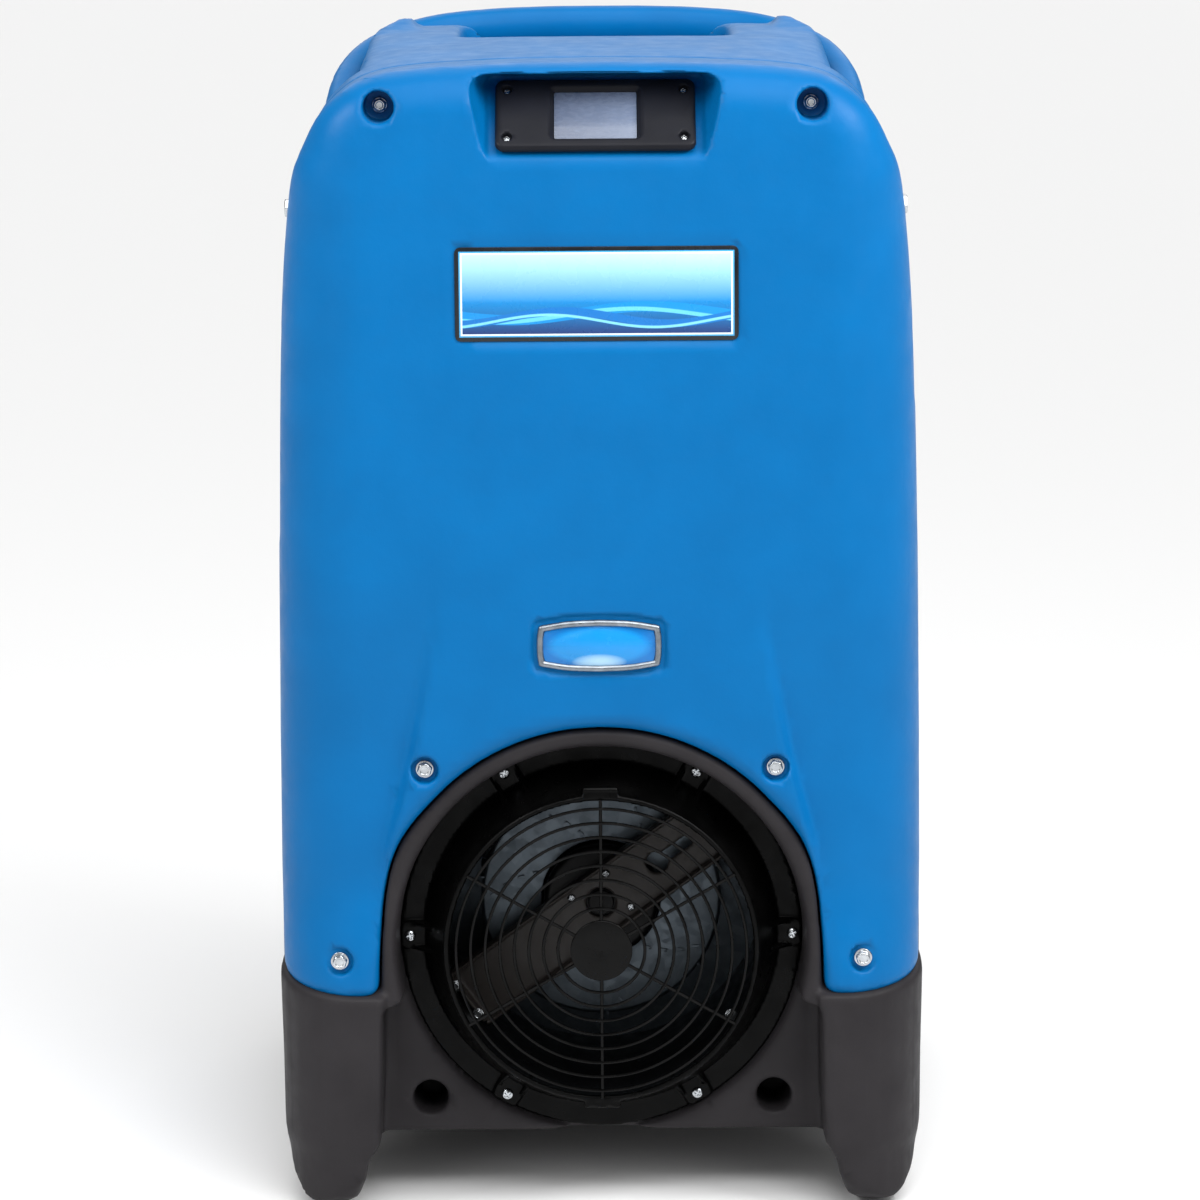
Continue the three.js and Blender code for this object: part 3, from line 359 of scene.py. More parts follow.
def make_front_shell():
    grid = Grid((0, FRONT - 6, 152), (240, SEAM_SIDE + 6, 836), 2.0)
    form = without(cabinet(grid), screen_recess(grid), 1.6)
    form = without(form, dish(grid, POCKETS, 11, POCKET_FLOOR), 4)
    for place, floor in ((MID_BOLTS, MID_SEAT), (LOW_BOLTS, LOW_SEAT)):
        form = without(form, dish(grid, place, 9.6, floor), 3)
    label = rounded_box(grid.x, grid.z - LABEL_Z, 101, 35, 5)
    form = without(form, np.maximum(label, grid.y - FRONT - 1.4), 1.5)
    badge = polygon(grid.x, grid.z - BADGE_Z, badge_outline(3.2))
    form = without(form, np.maximum(badge, grid.y - FRONT - 2.4), 2.5)
    trimmed = without(form, arch(grid), 13)
    trimmed = common(trimmed, -skirt(grid), 9)
    trimmed = common(trimmed, seam(grid), 4)
    shell = shelled(form, trimmed)
    along = (grid.z - PANEL_Z_CENTRE) + (grid.y - PANEL_Y_CENTRE)
    window = np.maximum(np.abs(grid.x) - 50, np.abs(along) - 31)
    window = np.maximum(window, np.maximum(FRONT + 12 - grid.y, grid.z - 812))
    return mesh_of("front_shell_moulded", grid, without(shell, window, 1), 0.12)


def arm_room(grid):
    """Space over the handle arms, beside the deck and around the pivot bosses."""
    reach, below, round_ = 340.0, 21.0, 28.0
    far_y = PIVOT_Y + reach * math.cos(HANDLE_REST) + below * math.sin(HANDLE_REST)
    far_z = PIVOT_Z + reach * math.sin(HANDLE_REST) - below * math.cos(HANDLE_REST)
    under = [(PIVOT_Y + round_ * math.cos(math.radians(a)), PIVOT_Z + round_
              * math.sin(math.radians(a))) for a in np.linspace(180, 292.9, 12)]
    outline = [(PIVOT_Y - round_, 900)] + under + [(far_y, far_z), (far_y, 900)]
    room = common(polygon(grid.y, grid.z, outline), DECK_HALF - np.abs(grid.x), 10)
    boss = np.hypot(grid.y - PIVOT_Y, grid.z - PIVOT_Z) - BOSS_RADIUS
    boss = common(boss, np.abs(grid.x) - 190, 5)
    return without(room, boss, 6)


def finger_rebate(grid):
    """The step behind the deck that leaves room around the folded crossbar."""
    step = polygon(grid.y, grid.z, [
        (BACK + 30, 741), (BACK - 4, 744), (DECK_REAR_Y, 772), (DECK_REAR_Y, 900), (BACK + 30, 900)])
    corner = polygon(np.abs(grid.x), grid.y, [
        (240, 40), (DECK_HALF, 40), (138, 104), (105, DECK_REAR_Y), (105, 170), (240, 170)])
    return join(step, np.maximum(corner, 790 - grid.z), 4)


def wheel_well(grid):
    round_ = np.hypot(grid.y - WHEEL_Y, grid.z - WHEEL_Z) - WELL_RADIUS
    return common(round_, WELL_INNER - np.abs(grid.x), 6)


def horns(grid):
    """Raised corners that guard the folded crossbar."""
    plan = polygon(np.abs(grid.x), grid.y, [(139, 36), (139, 93), (151, 77), (164, 52), (166, 36)])
    top = np.interp(grid.y, [30, 52, 72, 96], [829, 838, 845, 846.5])
    return common(plan, np.maximum(grid.z - top, 815 - grid.z), 7)


def make_rear_shell():
    grid = Grid((0, SEAM_TOP - 6, 166), (240, BACK + 6, 852), 3.0)
    form = without(cabinet(grid), arm_room(grid), 12)
    form = without(form, finger_rebate(grid), 10)
    form = join(form, horns(grid), 9)
    pocket = rounded_box(grid.x, grid.y - 52, 100, 62, 18)
    form = without(form, common(pocket, 793 - grid.z, 6), 9)
    trimmed = without(form, wheel_well(grid), 8)
    trimmed = common(trimmed, -skirt(grid), 9)
    trimmed = common(trimmed, SEAM_GAP - seam(grid), 4)
    shell = shelled(form, trimmed)
    intake = np.maximum(np.abs(grid.x) - 150, np.abs(grid.z - 577.5) - 147.5)
    shell = without(shell, np.maximum(intake, 130 - grid.y), 3)
    for x, radius in ((-120, 10.6), (120, 8.6)):
        hole = np.hypot(grid.x - x, grid.z - 300) - radius
        shell = without(shell, np.maximum(hole, 130 - grid.y))
    return mesh_of("rear_shell_moulded", grid, shell, 0.12)


def make_base():
    grid = Grid((0, FRONT - 6, -6), (240, BACK + 6, 368), 2.75)
    body = cabinet(grid)
    tub = common(common(body, FLOOR_HEIGHT - grid.z, 12), skirt(grid) + SEAM_GAP, 5)
    between = polygon(np.abs(grid.x), grid.z, [
        (-9, -60), (161, -60), (161, 150), (150, 178), (146, 240), (-9, 240)])
    tub = without(tub, np.maximum(between, grid.y - PANEL_Y), 9)
    seen = polygon(np.abs(grid.x), grid.z, [
        (150, 200), (161, 150), (163, 90), (167.5, 50), (172, 26), (178, 10), (187, 2),
        (198, 0), (209, 3), (219, 11), (227, 24), (232, 46), (235, 80), (236, 200)])
    profile = polygon(grid.y, grid.z, [
        (FRONT - 20, 200), (FRONT - 12, 60), (FRONT - 3, 30), (FRONT + 7, 12),
        (FRONT + 24, 1), (FRONT + 44, -5), (FRONT + 98, -6), (FRONT + 112, 4),
        (FRONT + 126, 51), (FRONT + 140, 62),
        (FRONT + 140, 200)])
    foot = common(common(common(seen, profile, 9), body, 2), -grid.z, 4)
    foot = common(foot, skirt(grid) + SEAM_GAP, 5)
    form = join(tub, foot, 12)
    ring = common(arch(grid, 1.2), FRONT + 5 - grid.y, 6)
    ring = np.maximum(ring, np.maximum(grid.y - FRONT - 60, 156 - grid.z))
    form = join(form, ring, 5)
    radius = np.hypot(grid.x, grid.z - FAN_HEIGHT)
    cone = radius - np.interp(grid.y, [FRONT, FRONT + 36], [148.5, 146.2])
    form = without(form, np.maximum(cone, grid.y - FRONT - 54.3), 9)
    form = without(form, wheel_well(grid), 6)
    form = without(form, dish(grid, BLIND_HOLE, 12.6, PANEL_Y + 55), 3)
    shell = np.maximum(form, -(form + WALL))
    open_top = np.maximum(body + RETURN, SKIRT_FRONT - 22 - grid.z)
    shell = without(shell, np.maximum(open_top, PANEL_Y + 20 - grid.y), 2)
    duct = np.maximum(radius - 130, slab(grid.y, FRONT + 40, FRONT + 225))
    shell = without(shell, duct, 1.5)
    axle = np.hypot(grid.y - WHEEL_Y, grid.z - WHEEL_Z) - 8.3
    return mesh_of("base_moulded", grid, without(shell, axle), 0.12)


HANDLE_LINE = curve_through([
    (205, 0), (205, 36), (200, 72), (193, 105), (191, 140), (190.5, 170), (186, 205),
    (174, 238), (152, 264), (120, 283), (80, 292), (40, 295.5), (0, 296)], 5)


def make_handle():
    """Drawn flat: y is the reach from the hinge line and z the height above the handle's plane."""
    grid = Grid((0, -30, -30), (226, 318, 30), 2.2)
    line = np.vstack([HANDLE_LINE, [(-8, 296)]])
    across = polyline(grid.x, grid.y, line)
    bar = (np.hypot(across / 14, grid.z / 17) - 1) * 14
    knuckle = common(np.hypot(grid.y, grid.z) - 24, slab(np.abs(grid.x), 191.5, 219), 6)
    form = common(join(bar, knuckle, 12), np.abs(grid.x) - 219, 5)
    shell = without(form, np.hypot(grid.y, grid.z) - 9.3)
    tilt = Matrix.Translation((0, PIVOT_Y, PIVOT_Z)) @ Matrix.Rotation(HANDLE_REST, 4, "X")
    return mesh_of("handle_moulded", grid, shell, 0.05, tilt)


# ---------------------------------------------------------------- turned, swept and flat forms
def rounded(points, radius, steps=3):
    """A closed outline with its corners rounded."""
    p = np.array(points, float)
    result = []
    for before, corner, after in zip(np.roll(p, 1, 0), p, np.roll(p, -1, 0)):
        a, b = before - corner, after - corner
        reach = min(radius, 0.45 * np.linalg.norm(a), 0.45 * np.linalg.norm(b))
        start = corner + a / max(np.linalg.norm(a), 1e-9) * reach
        end = corner + b / max(np.linalg.norm(b), 1e-9) * reach
        for t in np.linspace(0, 1, steps + 1):
            result.append(tuple((1 - t) ** 2 * start + 2 * t * (1 - t) * corner + t * t * end))
    return result


class Form:
    """Vertices and faces in millimetres, collected from several parts."""

    def __init__(self):
        self.places = []
        self.faces = []

    def strip(self, rings, close_ends=False):
        """Faces between closed rings that have the same number of points."""
        offset = len(self.places)
        count = len(rings[0])
        for ring in rings:
            self.places.extend(tuple(float(c) for c in place) for place in ring)
        total = len(rings) if close_ends else len(rings) - 1
        for r in range(total):
            for i in range(count):
                a = offset + r * count + i
                b = offset + r * count + (i + 1) % count
                c = offset + (r + 1) % len(rings) * count
                self.faces.append((a, b, c + (i + 1) % count, c + i))
        if not close_ends:
            self.faces.append(tuple(offset + i for i in range(count))[::-1])
            self.faces.append(tuple(offset + (len(rings) - 1) * count + i for i in range(count)))
        return self

    def turned(self, profile, axis, centre, sides=96):
        """Profile points are (radius, place along the axis), as one closed loop."""
        others = [i for i in range(3) if i != "xyz".index(axis)]
        rings = []
        for angle in np.linspace(0, 2 * math.pi, sides, endpoint=False):
            ring = []
            for radius, along in profile:
                place = [0.0, 0.0, 0.0]
                place["xyz".index(axis)] = along
                place[others[0]] = centre[others[0]] + radius * math.cos(angle)
                place[others[1]] = centre[others[1]] + radius * math.sin(angle)
                ring.append(place)
            rings.append(ring)
        return self.strip(rings, close_ends=True)

    def tube(self, points, radius, closed=False, sides=10):
        """A round wire along a line of points."""
        p = np.array(points, float)
        rings = []
        for i, place in enumerate(p):
            if closed:
                along = p[(i + 1) % len(p)] - p[i - 1]
            else:
                along = p[min(i + 1, len(p) - 1)] - p[max(i - 1, 0)]
            along = along / np.linalg.norm(along)
            side = np.cross(along, (0, 1, 0) if abs(along[1]) < 0.9 else (1, 0, 0))
            side /= np.linalg.norm(side)
            up = np.cross(along, side)
            turn = np.linspace(0, 2 * math.pi, sides, endpoint=False)
            rings.append([place + radius * (math.cos(t) * side + math.sin(t) * up) for t in turn])
        return self.strip(rings, close_ends=closed)

    def plate(self, outline, low, high, bevel=0.6, axis="y"):
        """A flat plate with eased edges, from an outline of (u, v) points."""
        outline = np.array(outline, float)
        ahead = np.roll(outline, -1, 0) - np.roll(outline, 1, 0)
        inward = np.stack([-ahead[:, 1], ahead[:, 0]], 1)
        inward /= np.maximum(np.linalg.norm(inward, axis=1), 1e-9)[:, None]
        area = np.sum(outline[:, 0] * np.roll(outline[:, 1], -1)
                      - np.roll(outline[:, 0], -1) * outline[:, 1])
        inward *= np.sign(area)
        rings = []
        for inset, along in ((bevel, low), (0.3 * bevel, low + 0.3 * bevel), (0, low + bevel),
                             (0, high - bevel), (0.3 * bevel, high - 0.3 * bevel), (bevel, high)):
            points = outline + inward * inset
            if axis == "y":
                rings.append([(u, along, v) for u, v in points])
            elif axis == "x":
                rings.append([(along, u, v) for u, v in points])
            else:
                rings.append([(u, v, along) for u, v in points])
        return self.strip(rings)

    def mesh(self, name, sharp=38.0):
        places = np.array(self.places)
        mesh = bpy.data.meshes.new(name)
        mesh.from_pydata((places * MM).tolist(), [], self.faces)
        work = bmesh.new()
        work.from_mesh(mesh)
        bmesh.ops.recalc_face_normals(work, faces=work.faces)
        work.to_mesh(mesh)
        work.free()
        mesh.shade_smooth()
        mesh.set_sharp_from_angle(angle=math.radians(sharp))
        return mesh


def rectangle(u0, u1, v0, v1):
    return [(u0, v0), (u1, v0), (u1, v1), (u0, v1)]


def circle(radius, centre, steps):
    return [(centre[0] + radius * math.cos(t), centre[1] + radius * math.sin(t))
            for t in np.linspace(0, 2 * math.pi, steps, endpoint=False)]


# ---------------------------------------------------------------- fasteners
FACING_FRONT = Matrix.Rotation(math.radians(90), 4, "X")


def at(x, y, z, turn=FACING_FRONT, spin=0.0):
    """A placing for a part drawn with its axis along z, turned to face the viewer."""
    return Matrix.Translation((x, y, z)) @ turn @ Matrix.Rotation(math.radians(spin), 4, "Z")


def hexagon(grid, half_flat):
    sides = [grid.x * math.cos(a) + grid.y * math.sin(a)
             for a in (0, math.pi / 3, 2 * math.pi / 3)]
    return np.maximum.reduce([np.abs(side) for side in sides]) - half_flat


def hex_bolt(name, placing, half_flat=4.5, flange=6.6, head=6.6):
    """A flanged hexagon bolt, its seat at z = 0."""
    reach = flange + 1.5
    grid = Grid((-reach, -reach, -3), (reach, reach, head + 1.8), 0.34, mirror=False)
    radius = np.hypot(grid.x, grid.y)
    top = common(hexagon(grid, half_flat), slab(grid.z, 0.4, head), 0.7)
    top = common(top, (radius + 1.7 * (grid.z - head)) * 0.5 - half_flat * 0.5 + 0.1, 0.3)
    top = without(top, np.maximum(radius - half_flat * 0.62, head - 0.5 - grid.z), 0.5)
    washer = common(radius - flange, grid.z - 1.9 + 0.1 * (radius - half_flat), 0.5)
    washer = common(washer, -grid.z, 0.3)
    form = join(join(top, washer, 0.5), np.maximum(radius - 3, grid.z - 1))
    return mesh_of(name, grid, form, 0.03, placing)


def pan_screw(name, placing, radius=4.2, head=2.6):
    """A domed cross-recessed screw, its seat at z = 0."""
    grid = Grid((-radius - 1, -radius - 1, -2), (radius + 1, radius + 1, head + 1), 0.2, mirror=False)
    r = np.hypot(grid.x, grid.y)
    bulge = (radius ** 2 + head ** 2) / (2 * head) * 1.25
    dome = np.sqrt(r ** 2 + (grid.z + bulge - head) ** 2) - bulge
    form = common(common(dome, r - radius, 0.8), -grid.z, 0.2)
    slot = radius * 0.16
    cross = np.minimum(np.maximum(np.abs(grid.x) - slot, np.abs(grid.y) - radius * 0.58),
                       np.maximum(np.abs(grid.y) - slot, np.abs(grid.x) - radius * 0.58))
    form = without(form, np.maximum(cross, head - 1.5 - grid.z), 0.3)
    form = join(form, np.maximum(r - radius * 0.42, grid.z - 0.5))
    return mesh_of(name, grid, form, 0.02, placing)


# ---------------------------------------------------------------- screen panel, plate and badge
ON_PANEL = (Matrix.Translation((0, PANEL_Y_CENTRE, PANEL_Z_CENTRE))
            @ Matrix.Rotation(math.radians(-45), 4, "X"))
PANEL_SCREWS = [(-61.5, 21.5), (61.5, 21.5), (61.5, -21.5), (-61.5, -21.5)]


def make_bezel():
    grid = Grid((0, -10, -32.4), (71.4, 0.4, 32.4), 0.62)
    plate = rounded_box(grid.x, grid.z, 69.8, 31.4, 6.5)
    form = common(plate, slab(grid.y, -8.6, -1.4), 3.4)
    opening = rounded_box(grid.x, grid.z, 29, 21.4, 1.2) - 0.75 * np.clip(-5 - grid.y, 0, 5)
    form = without(form, opening, 0.8)
    for x, z in PANEL_SCREWS[1:3]:
        r = np.hypot(grid.x - x, grid.z - z)
        form = without(form, np.maximum(r - 3.6, grid.y + 4.6), 0.8)
        form = without(form, r - 1.9)
    return mesh_of("panel_bezel_moulded", grid, form, 0.05, ON_PANEL)


def make_badge_frame():
    grid = Grid((0, FRONT - 2.2, -23), (48.5, FRONT + 2.4, 23), 0.36)
    edge = polygon(grid.x, grid.z, badge_outline(0.0))
    rim = np.hypot((edge + 2.3) / 2.3, (grid.y - FRONT - 0.4) / 2.2) - 1
    plate = np.maximum(edge + 0.3, slab(grid.y, FRONT + 0.9, FRONT + 2.1))
    form = join(rim * 2.2, plate, 0.6)
    placing = Matrix.Translation((0, 0, BADGE_Z))
    return mesh_of("badge_frame_moulded", grid, form, 0.03, placing)


def make_badge_insert():
    outline = np.array(badge_outline(-4.3))
    outline[:, 1] += BADGE_Z
    return Form().plate(outline, FRONT - 0.2, FRONT + 0.7, 0.25).mesh("badge_insert_print")


def make_name_plate():
    half = corners("name_plate")[1][0]
    tall = corners("name_plate")[1][2] - LABEL_Z
    box = [(half, tall), (-half, tall), (-half, -tall), (half, -tall)]
    outline = [(x, z + LABEL_Z) for x, z in rounded(box, 5, 8)]
    return Form().plate(outline, FRONT + 0.1, FRONT + 1.1, 0.3).mesh("name_plate_print")


# ---------------------------------------------------------------- outlet
COLLAR_ANGLES = (0, 60, 120, 180, 240, 300)
COLLAR_SCREW_RADIUS = 139.0
FLANGE_Y = FRONT + 54


def along_radius(grid, degrees):
    """Distance out from the fan axis and distance to the side, along one direction."""
    a = math.radians(degrees)
    z = grid.z - FAN_HEIGHT
    return grid.x * math.cos(a) + z * math.sin(a), -grid.x * math.sin(a) + z * math.cos(a)


def make_collar():
    grid = Grid((0, FRONT + 2, FAN_HEIGHT - 148), (148, FLANGE_Y + 2, FAN_HEIGHT + 148), 1.5)
    radius = np.hypot(grid.x, grid.z - FAN_HEIGHT)
    form = polygon(radius, grid.y, [
        (145.5, FLANGE_Y), (145.5, FLANGE_Y - 3), (128.5, FLANGE_Y - 3), (114, FRONT + 9),
        (113, FRONT + 4.2), (109.4, FRONT + 4.2), (110, FRONT + 11), (125.3, FLANGE_Y)]) - 0.3
    for degrees in (0, 60, 90, 270, 300):
        out, side = along_radius(grid, degrees)
        if degrees in (90, 270):
            key = np.maximum(slab(out, 111, 119), np.abs(side) - 13)
            form = join(form, np.maximum(key, slab(grid.y, FRONT + 5, FRONT + 13)), 1.5)
            continue
        tab = rounded_box(out - 137, side, 8.6, 10, 3)
        form = join(form, np.maximum(tab, slab(grid.y, FLANGE_Y - 7, FLANGE_Y - 1)), 1.6)
        rib_top = FLANGE_Y - 4 - (140 - out) * 1.05
        rib = np.maximum(np.abs(np.abs(side) - 9) - 1.3, rib_top - grid.y)
        rib = np.maximum(rib, np.maximum(slab(out, 117, 141), grid.y - FLANGE_Y + 1))
        form = join(form, rib, 1.2)
    return mesh_of("outlet_collar_moulded", grid, form, 0.1)


def make_guard():
    low, high = corners("finger_guard")
    middle_y = (low[1] + high[1]) / 2
    form = Form()
    for k in range(8):
        ring = [(x, middle_y - 0.5, z) for x, z in circle(31.2 + 10.45 * k, (0, FAN_HEIGHT), 96)]
        form.tube(ring, 1.15, closed=True, sides=8)
    for degrees in (30, 90, 150, 210, 270, 330):
        a = math.radians(degrees)
        line = [(r * math.cos(a), middle_y + 0.6, FAN_HEIGHT + r * math.sin(a))
                for r in np.linspace(12, 110.5, 12)]
        form.tube(line, 1.25, sides=8)
    hub = rounded([(0.01, low[1]), (22.2, low[1]), (22.2, high[1]), (0.01, high[1])], 0.8)
    form.turned(hub, "y", (0, 0, FAN_HEIGHT), 72)
    return form.mesh("finger_guard_wire")


# ---------------------------------------------------------------- fan
SHROUD_FRONT = FRONT + 60.6
BRACKET_Y = FRONT + 138
FAN_PLATE_Y = FRONT + 153
BULKHEAD_Y = FRONT + 217
BRACKET_ANGLE = 36.0
FAN_AXIS = (0, 0, FAN_HEIGHT)


def make_shroud():
    profile = rounded([
        (127, SHROUD_FRONT), (134, SHROUD_FRONT), (134, SHROUD_FRONT + 2),
        (129.5, SHROUD_FRONT + 2), (129.5, BULKHEAD_Y - 0.3), (127, BULKHEAD_Y - 0.3)], 0.6)
    return Form().turned(profile, "y", FAN_AXIS, 128).mesh("fan_shroud_rolled")


def make_bracket():
    grid = Grid((-127, BRACKET_Y - 14, FAN_HEIGHT - 98), (127, BRACKET_Y + 6, FAN_HEIGHT + 98), 1.5,
                mirror=False)
    out, side = along_radius(grid, BRACKET_ANGLE)
    strap = np.maximum(np.abs(side) - 24, slab(grid.y, BRACKET_Y, BRACKET_Y + 3))
    lips = np.maximum(np.abs(np.abs(side) - 23) - 1.4, slab(grid.y, BRACKET_Y - 9, BRACKET_Y + 3))
    form = join(strap, lips, 2.5)
    ends = np.maximum(np.abs(np.abs(out) - 123) - 1.6, np.abs(side) - 20)
    form = join(form, np.maximum(ends, slab(grid.y, BRACKET_Y - 12, BRACKET_Y + 3)), 2)
    form = np.maximum(form, np.hypot(grid.x, grid.z - FAN_HEIGHT) - 126)
    form = without(form, np.hypot(grid.x, grid.z - FAN_HEIGHT) - 11, 0.8)
    keyhole = np.minimum(np.hypot(out - 52, side) - 8, np.maximum(slab(out, 52, 82),
                                                                 np.abs(side) - 4))
    return mesh_of("motor_bracket_pressed", grid, without(form, keyhole, 0.8), 0.1)


def make_motor():
    front = BRACKET_Y + 3.3
    shell = rounded([(0.01, front), (43, front), (43, front + 60), (0.01, front + 60)], 5, 5)
    shaft = rounded([(0.01, front - 4), (9.6, front - 4), (9.6, front + 2), (0.01, front + 2)], 1)
    form = Form().turned(shell, "y", FAN_AXIS, 72).turned(shaft, "y", FAN_AXIS, 32)
    for k in range(18):
        a = 2 * math.pi * k / 18
        rib = [(42.6 * math.cos(a), y, FAN_HEIGHT + 42.6 * math.sin(a))
               for y in np.linspace(front + 8, front + 54, 4)]
        form.tube(rib, 0.35, sides=4)
    return form.mesh("fan_motor_cast")


def make_impeller():
    form = Form()
    disc = rounded([(44.5, FAN_PLATE_Y), (88, FAN_PLATE_Y), (90.4, FAN_PLATE_Y + 2.4),
                    (89, FAN_PLATE_Y + 3), (87, FAN_PLATE_Y + 1.6), (47, FAN_PLATE_Y + 1.6),
                    (47, FAN_PLATE_Y + 52), (44.5, FAN_PLATE_Y + 52)], 0.8)
    form.turned(disc, "y", FAN_AXIS, 128)
    ring = [(66, FAN_PLATE_Y + 55), (90, FAN_PLATE_Y + 55), (90, FAN_PLATE_Y + 56.5),
            (66, FAN_PLATE_Y + 56.5)]
    form.turned(ring, "y", FAN_AXIS, 96)
    for k in range(7):
        turn = 2 * math.pi * k / 7
        line = curve_through([(47, 0), (62, 12), (78, 20), (89, 24)], 5)
        blade = np.vstack([line, line[::-1] + (-0.5, 1.6)])
        cos, sin = math.cos(turn), math.sin(turn)
        outline = [(u * cos - v * sin, FAN_HEIGHT + u * sin + v * cos) for u, v in blade]
        form.plate(outline, FAN_PLATE_Y + 1, FAN_PLATE_Y + 56, 0.3)
        for radius in (52, 62, 72, 81):
            a = turn + 0.012 * (radius - 47)
            x, z = radius * math.cos(a), FAN_HEIGHT + radius * math.sin(a)
            box = rounded([(2.6, 1.1), (-2.6, 1.1), (-2.6, -1.1), (2.6, -1.1)], 0.5, 2)
            lean = a + 0.5
            tab = [(x + u * math.cos(lean) - v * math.sin(lean),
                    z + u * math.sin(lean) + v * math.cos(lean)) for u, v in box]
            form.plate(tab, FAN_PLATE_Y - 1.3, FAN_PLATE_Y + 0.3, 0.3)
    return form.mesh("fan_impeller_pressed")


# ---------------------------------------------------------------- materials
def linear(red, green, blue):
    """A screen colour, 0 to 255, as Blender's linear colour."""
    def convert(value):
        value /= 255
        return value / 12.92 if value <= 0.04045 else ((value + 0.055) / 1.055) ** 2.4
    return (convert(red), convert(green), convert(blue), 1.0)


class Surface:
    """A node material that is built up step by step around one Principled shader."""

    def __init__(self, name, roughness=0.5, metallic=0.0):
        self.material = bpy.data.materials.new(name)
        self.material.use_nodes = True
        self.tree = self.material.node_tree
        self.shader = self.tree.nodes["Principled BSDF"]
        self.shader.inputs["Roughness"].default_value = roughness
        self.shader.inputs["Metallic"].default_value = metallic
        self.places = self.tree.nodes.new("ShaderNodeTexCoord").outputs["Object"]

    def node(self, kind, **values):
        made = self.tree.nodes.new(kind)
        for key, value in values.items():
            if key in made.inputs:
                made.inputs[key].default_value = value
            else:
                setattr(made, key, value)
        return made

    def link(self, start, end):
        self.tree.links.new(start, end)

    def noise(self, size, detail=3.0, stretch=(1, 1, 1)):
        """Noise whose features are about `size` millimetres."""
        mapping = self.node("ShaderNodeMapping")
        mapping.inputs["Scale"].default_value = [s / (size * MM) for s in stretch]
        self.link(self.places, mapping.inputs["Vector"])
        texture = self.node("ShaderNodeTexNoise", Scale=1.0, Detail=detail)
        self.link(mapping.outputs["Vector"], texture.inputs["Vector"])
        return texture.outputs["Fac"]

    def mapped(self, value, low, high, start=0.3, end=0.7):
        made = self.node("ShaderNodeMapRange")
        for key, number in zip(("From Min", "From Max", "To Min", "To Max"),
                               (start, end, low, high)):
            made.inputs[key].default_value = number
        self.link(value, made.inputs["Value"])
        return made.outputs["Result"]

    def math(self, operation, a, b=0.0):
        made = self.node("ShaderNodeMath", operation=operation)
        for socket, value in zip(made.inputs, (a, b)):
            if isinstance(value, (int, float)):
                socket.default_value = value
            else:
                self.link(value, socket)
        return made.outputs["Value"]

    def mix(self, factor, a, b):
        made = self.node("ShaderNodeMix", data_type="RGBA")
        for socket, value in ((made.inputs[0], factor), (made.inputs[6], a), (made.inputs[7], b)):
            if isinstance(value, (int, float, tuple)):
                socket.default_value = value
            else:
                self.link(value, socket)
        return made.outputs[2]

    def colour(self, value):
        if isinstance(value, tuple):
            self.shader.inputs["Base Color"].default_value = value
        else:
            self.link(value, self.shader.inputs["Base Color"])

    def roughness(self, value):
        self.link(value, self.shader.inputs["Roughness"])

    def bump(self, *layers):
        """Layers are (height, depth in millimetres)."""
        normal = None
        for height, depth in layers:
            made = self.node("ShaderNodeBump", Distance=depth * MM, Strength=1.0)
            self.link(height, made.inputs["Height"])
            if normal is not None:
                self.link(normal, made.inputs["Normal"])
            normal = made.outputs["Normal"]
        self.link(normal, self.shader.inputs["Normal"])

    def axes(self):
        """The three object coordinates in metres."""
        made = self.node("ShaderNodeSeparateXYZ")
        self.link(self.places, made.inputs["Vector"])
        return made.outputs


def moulded_plastic(name, dark, light, roughness, grain=0.05):
    """Rotomoulded polyethylene: fine grain, slow waviness, faint mottling and scuffs."""
    s = Surface(name, roughness)
    s.shader.inputs["Specular IOR Level"].default_value = 0.12
    mottle = s.mapped(s.noise(55, 4), 0.0, 1.0)
    scuffs = s.mapped(s.noise(9, 6, (1, 1, 0.25)), 0.0, 0.35, 0.62, 0.8)
    s.colour(s.mix(scuffs, s.mix(mottle, dark, light), light))
    s.roughness(s.mapped(s.noise(14, 5), roughness - 0.05, roughness + 0.07))
    s.bump((s.noise(0.9, 2), grain), (s.noise(7, 2), grain * 2.5), (s.noise(60, 2), grain * 6))
    return s.material


# ---------------------------------------------------------------- wheels
def make_hub(side, word):
    inner, outer = 205.0, 250.0
    profile = rounded([
        (8.3, inner), (20, inner), (22, 222), (84, 222), (86, 208), (90.5, 208), (90.5, 247),
        (86, 247), (84, 230), (22, 230), (20, outer), (8.3, outer)], 2.2)
    form = Form().turned([(r, side * x) for r, x in profile], "x", (0, WHEEL_Y, WHEEL_Z), 96)
    for k in range(8):
        turn = 2 * math.pi * (k + 0.5) / 8
        cos, sin = math.cos(turn), math.sin(turn)
        box = [(85.5, 2.2), (19, 3.2), (19, -3.2), (85.5, -2.2)]
        outline = [(WHEEL_Y + u * cos - v * sin, WHEEL_Z + u * sin + v * cos) for u, v in box]
        ends = sorted((side * 229, side * 240))
        form.plate(outline, ends[0], ends[1], 0.8, "x")
    return form.mesh(f"wheel_hub_{word}_moulded")


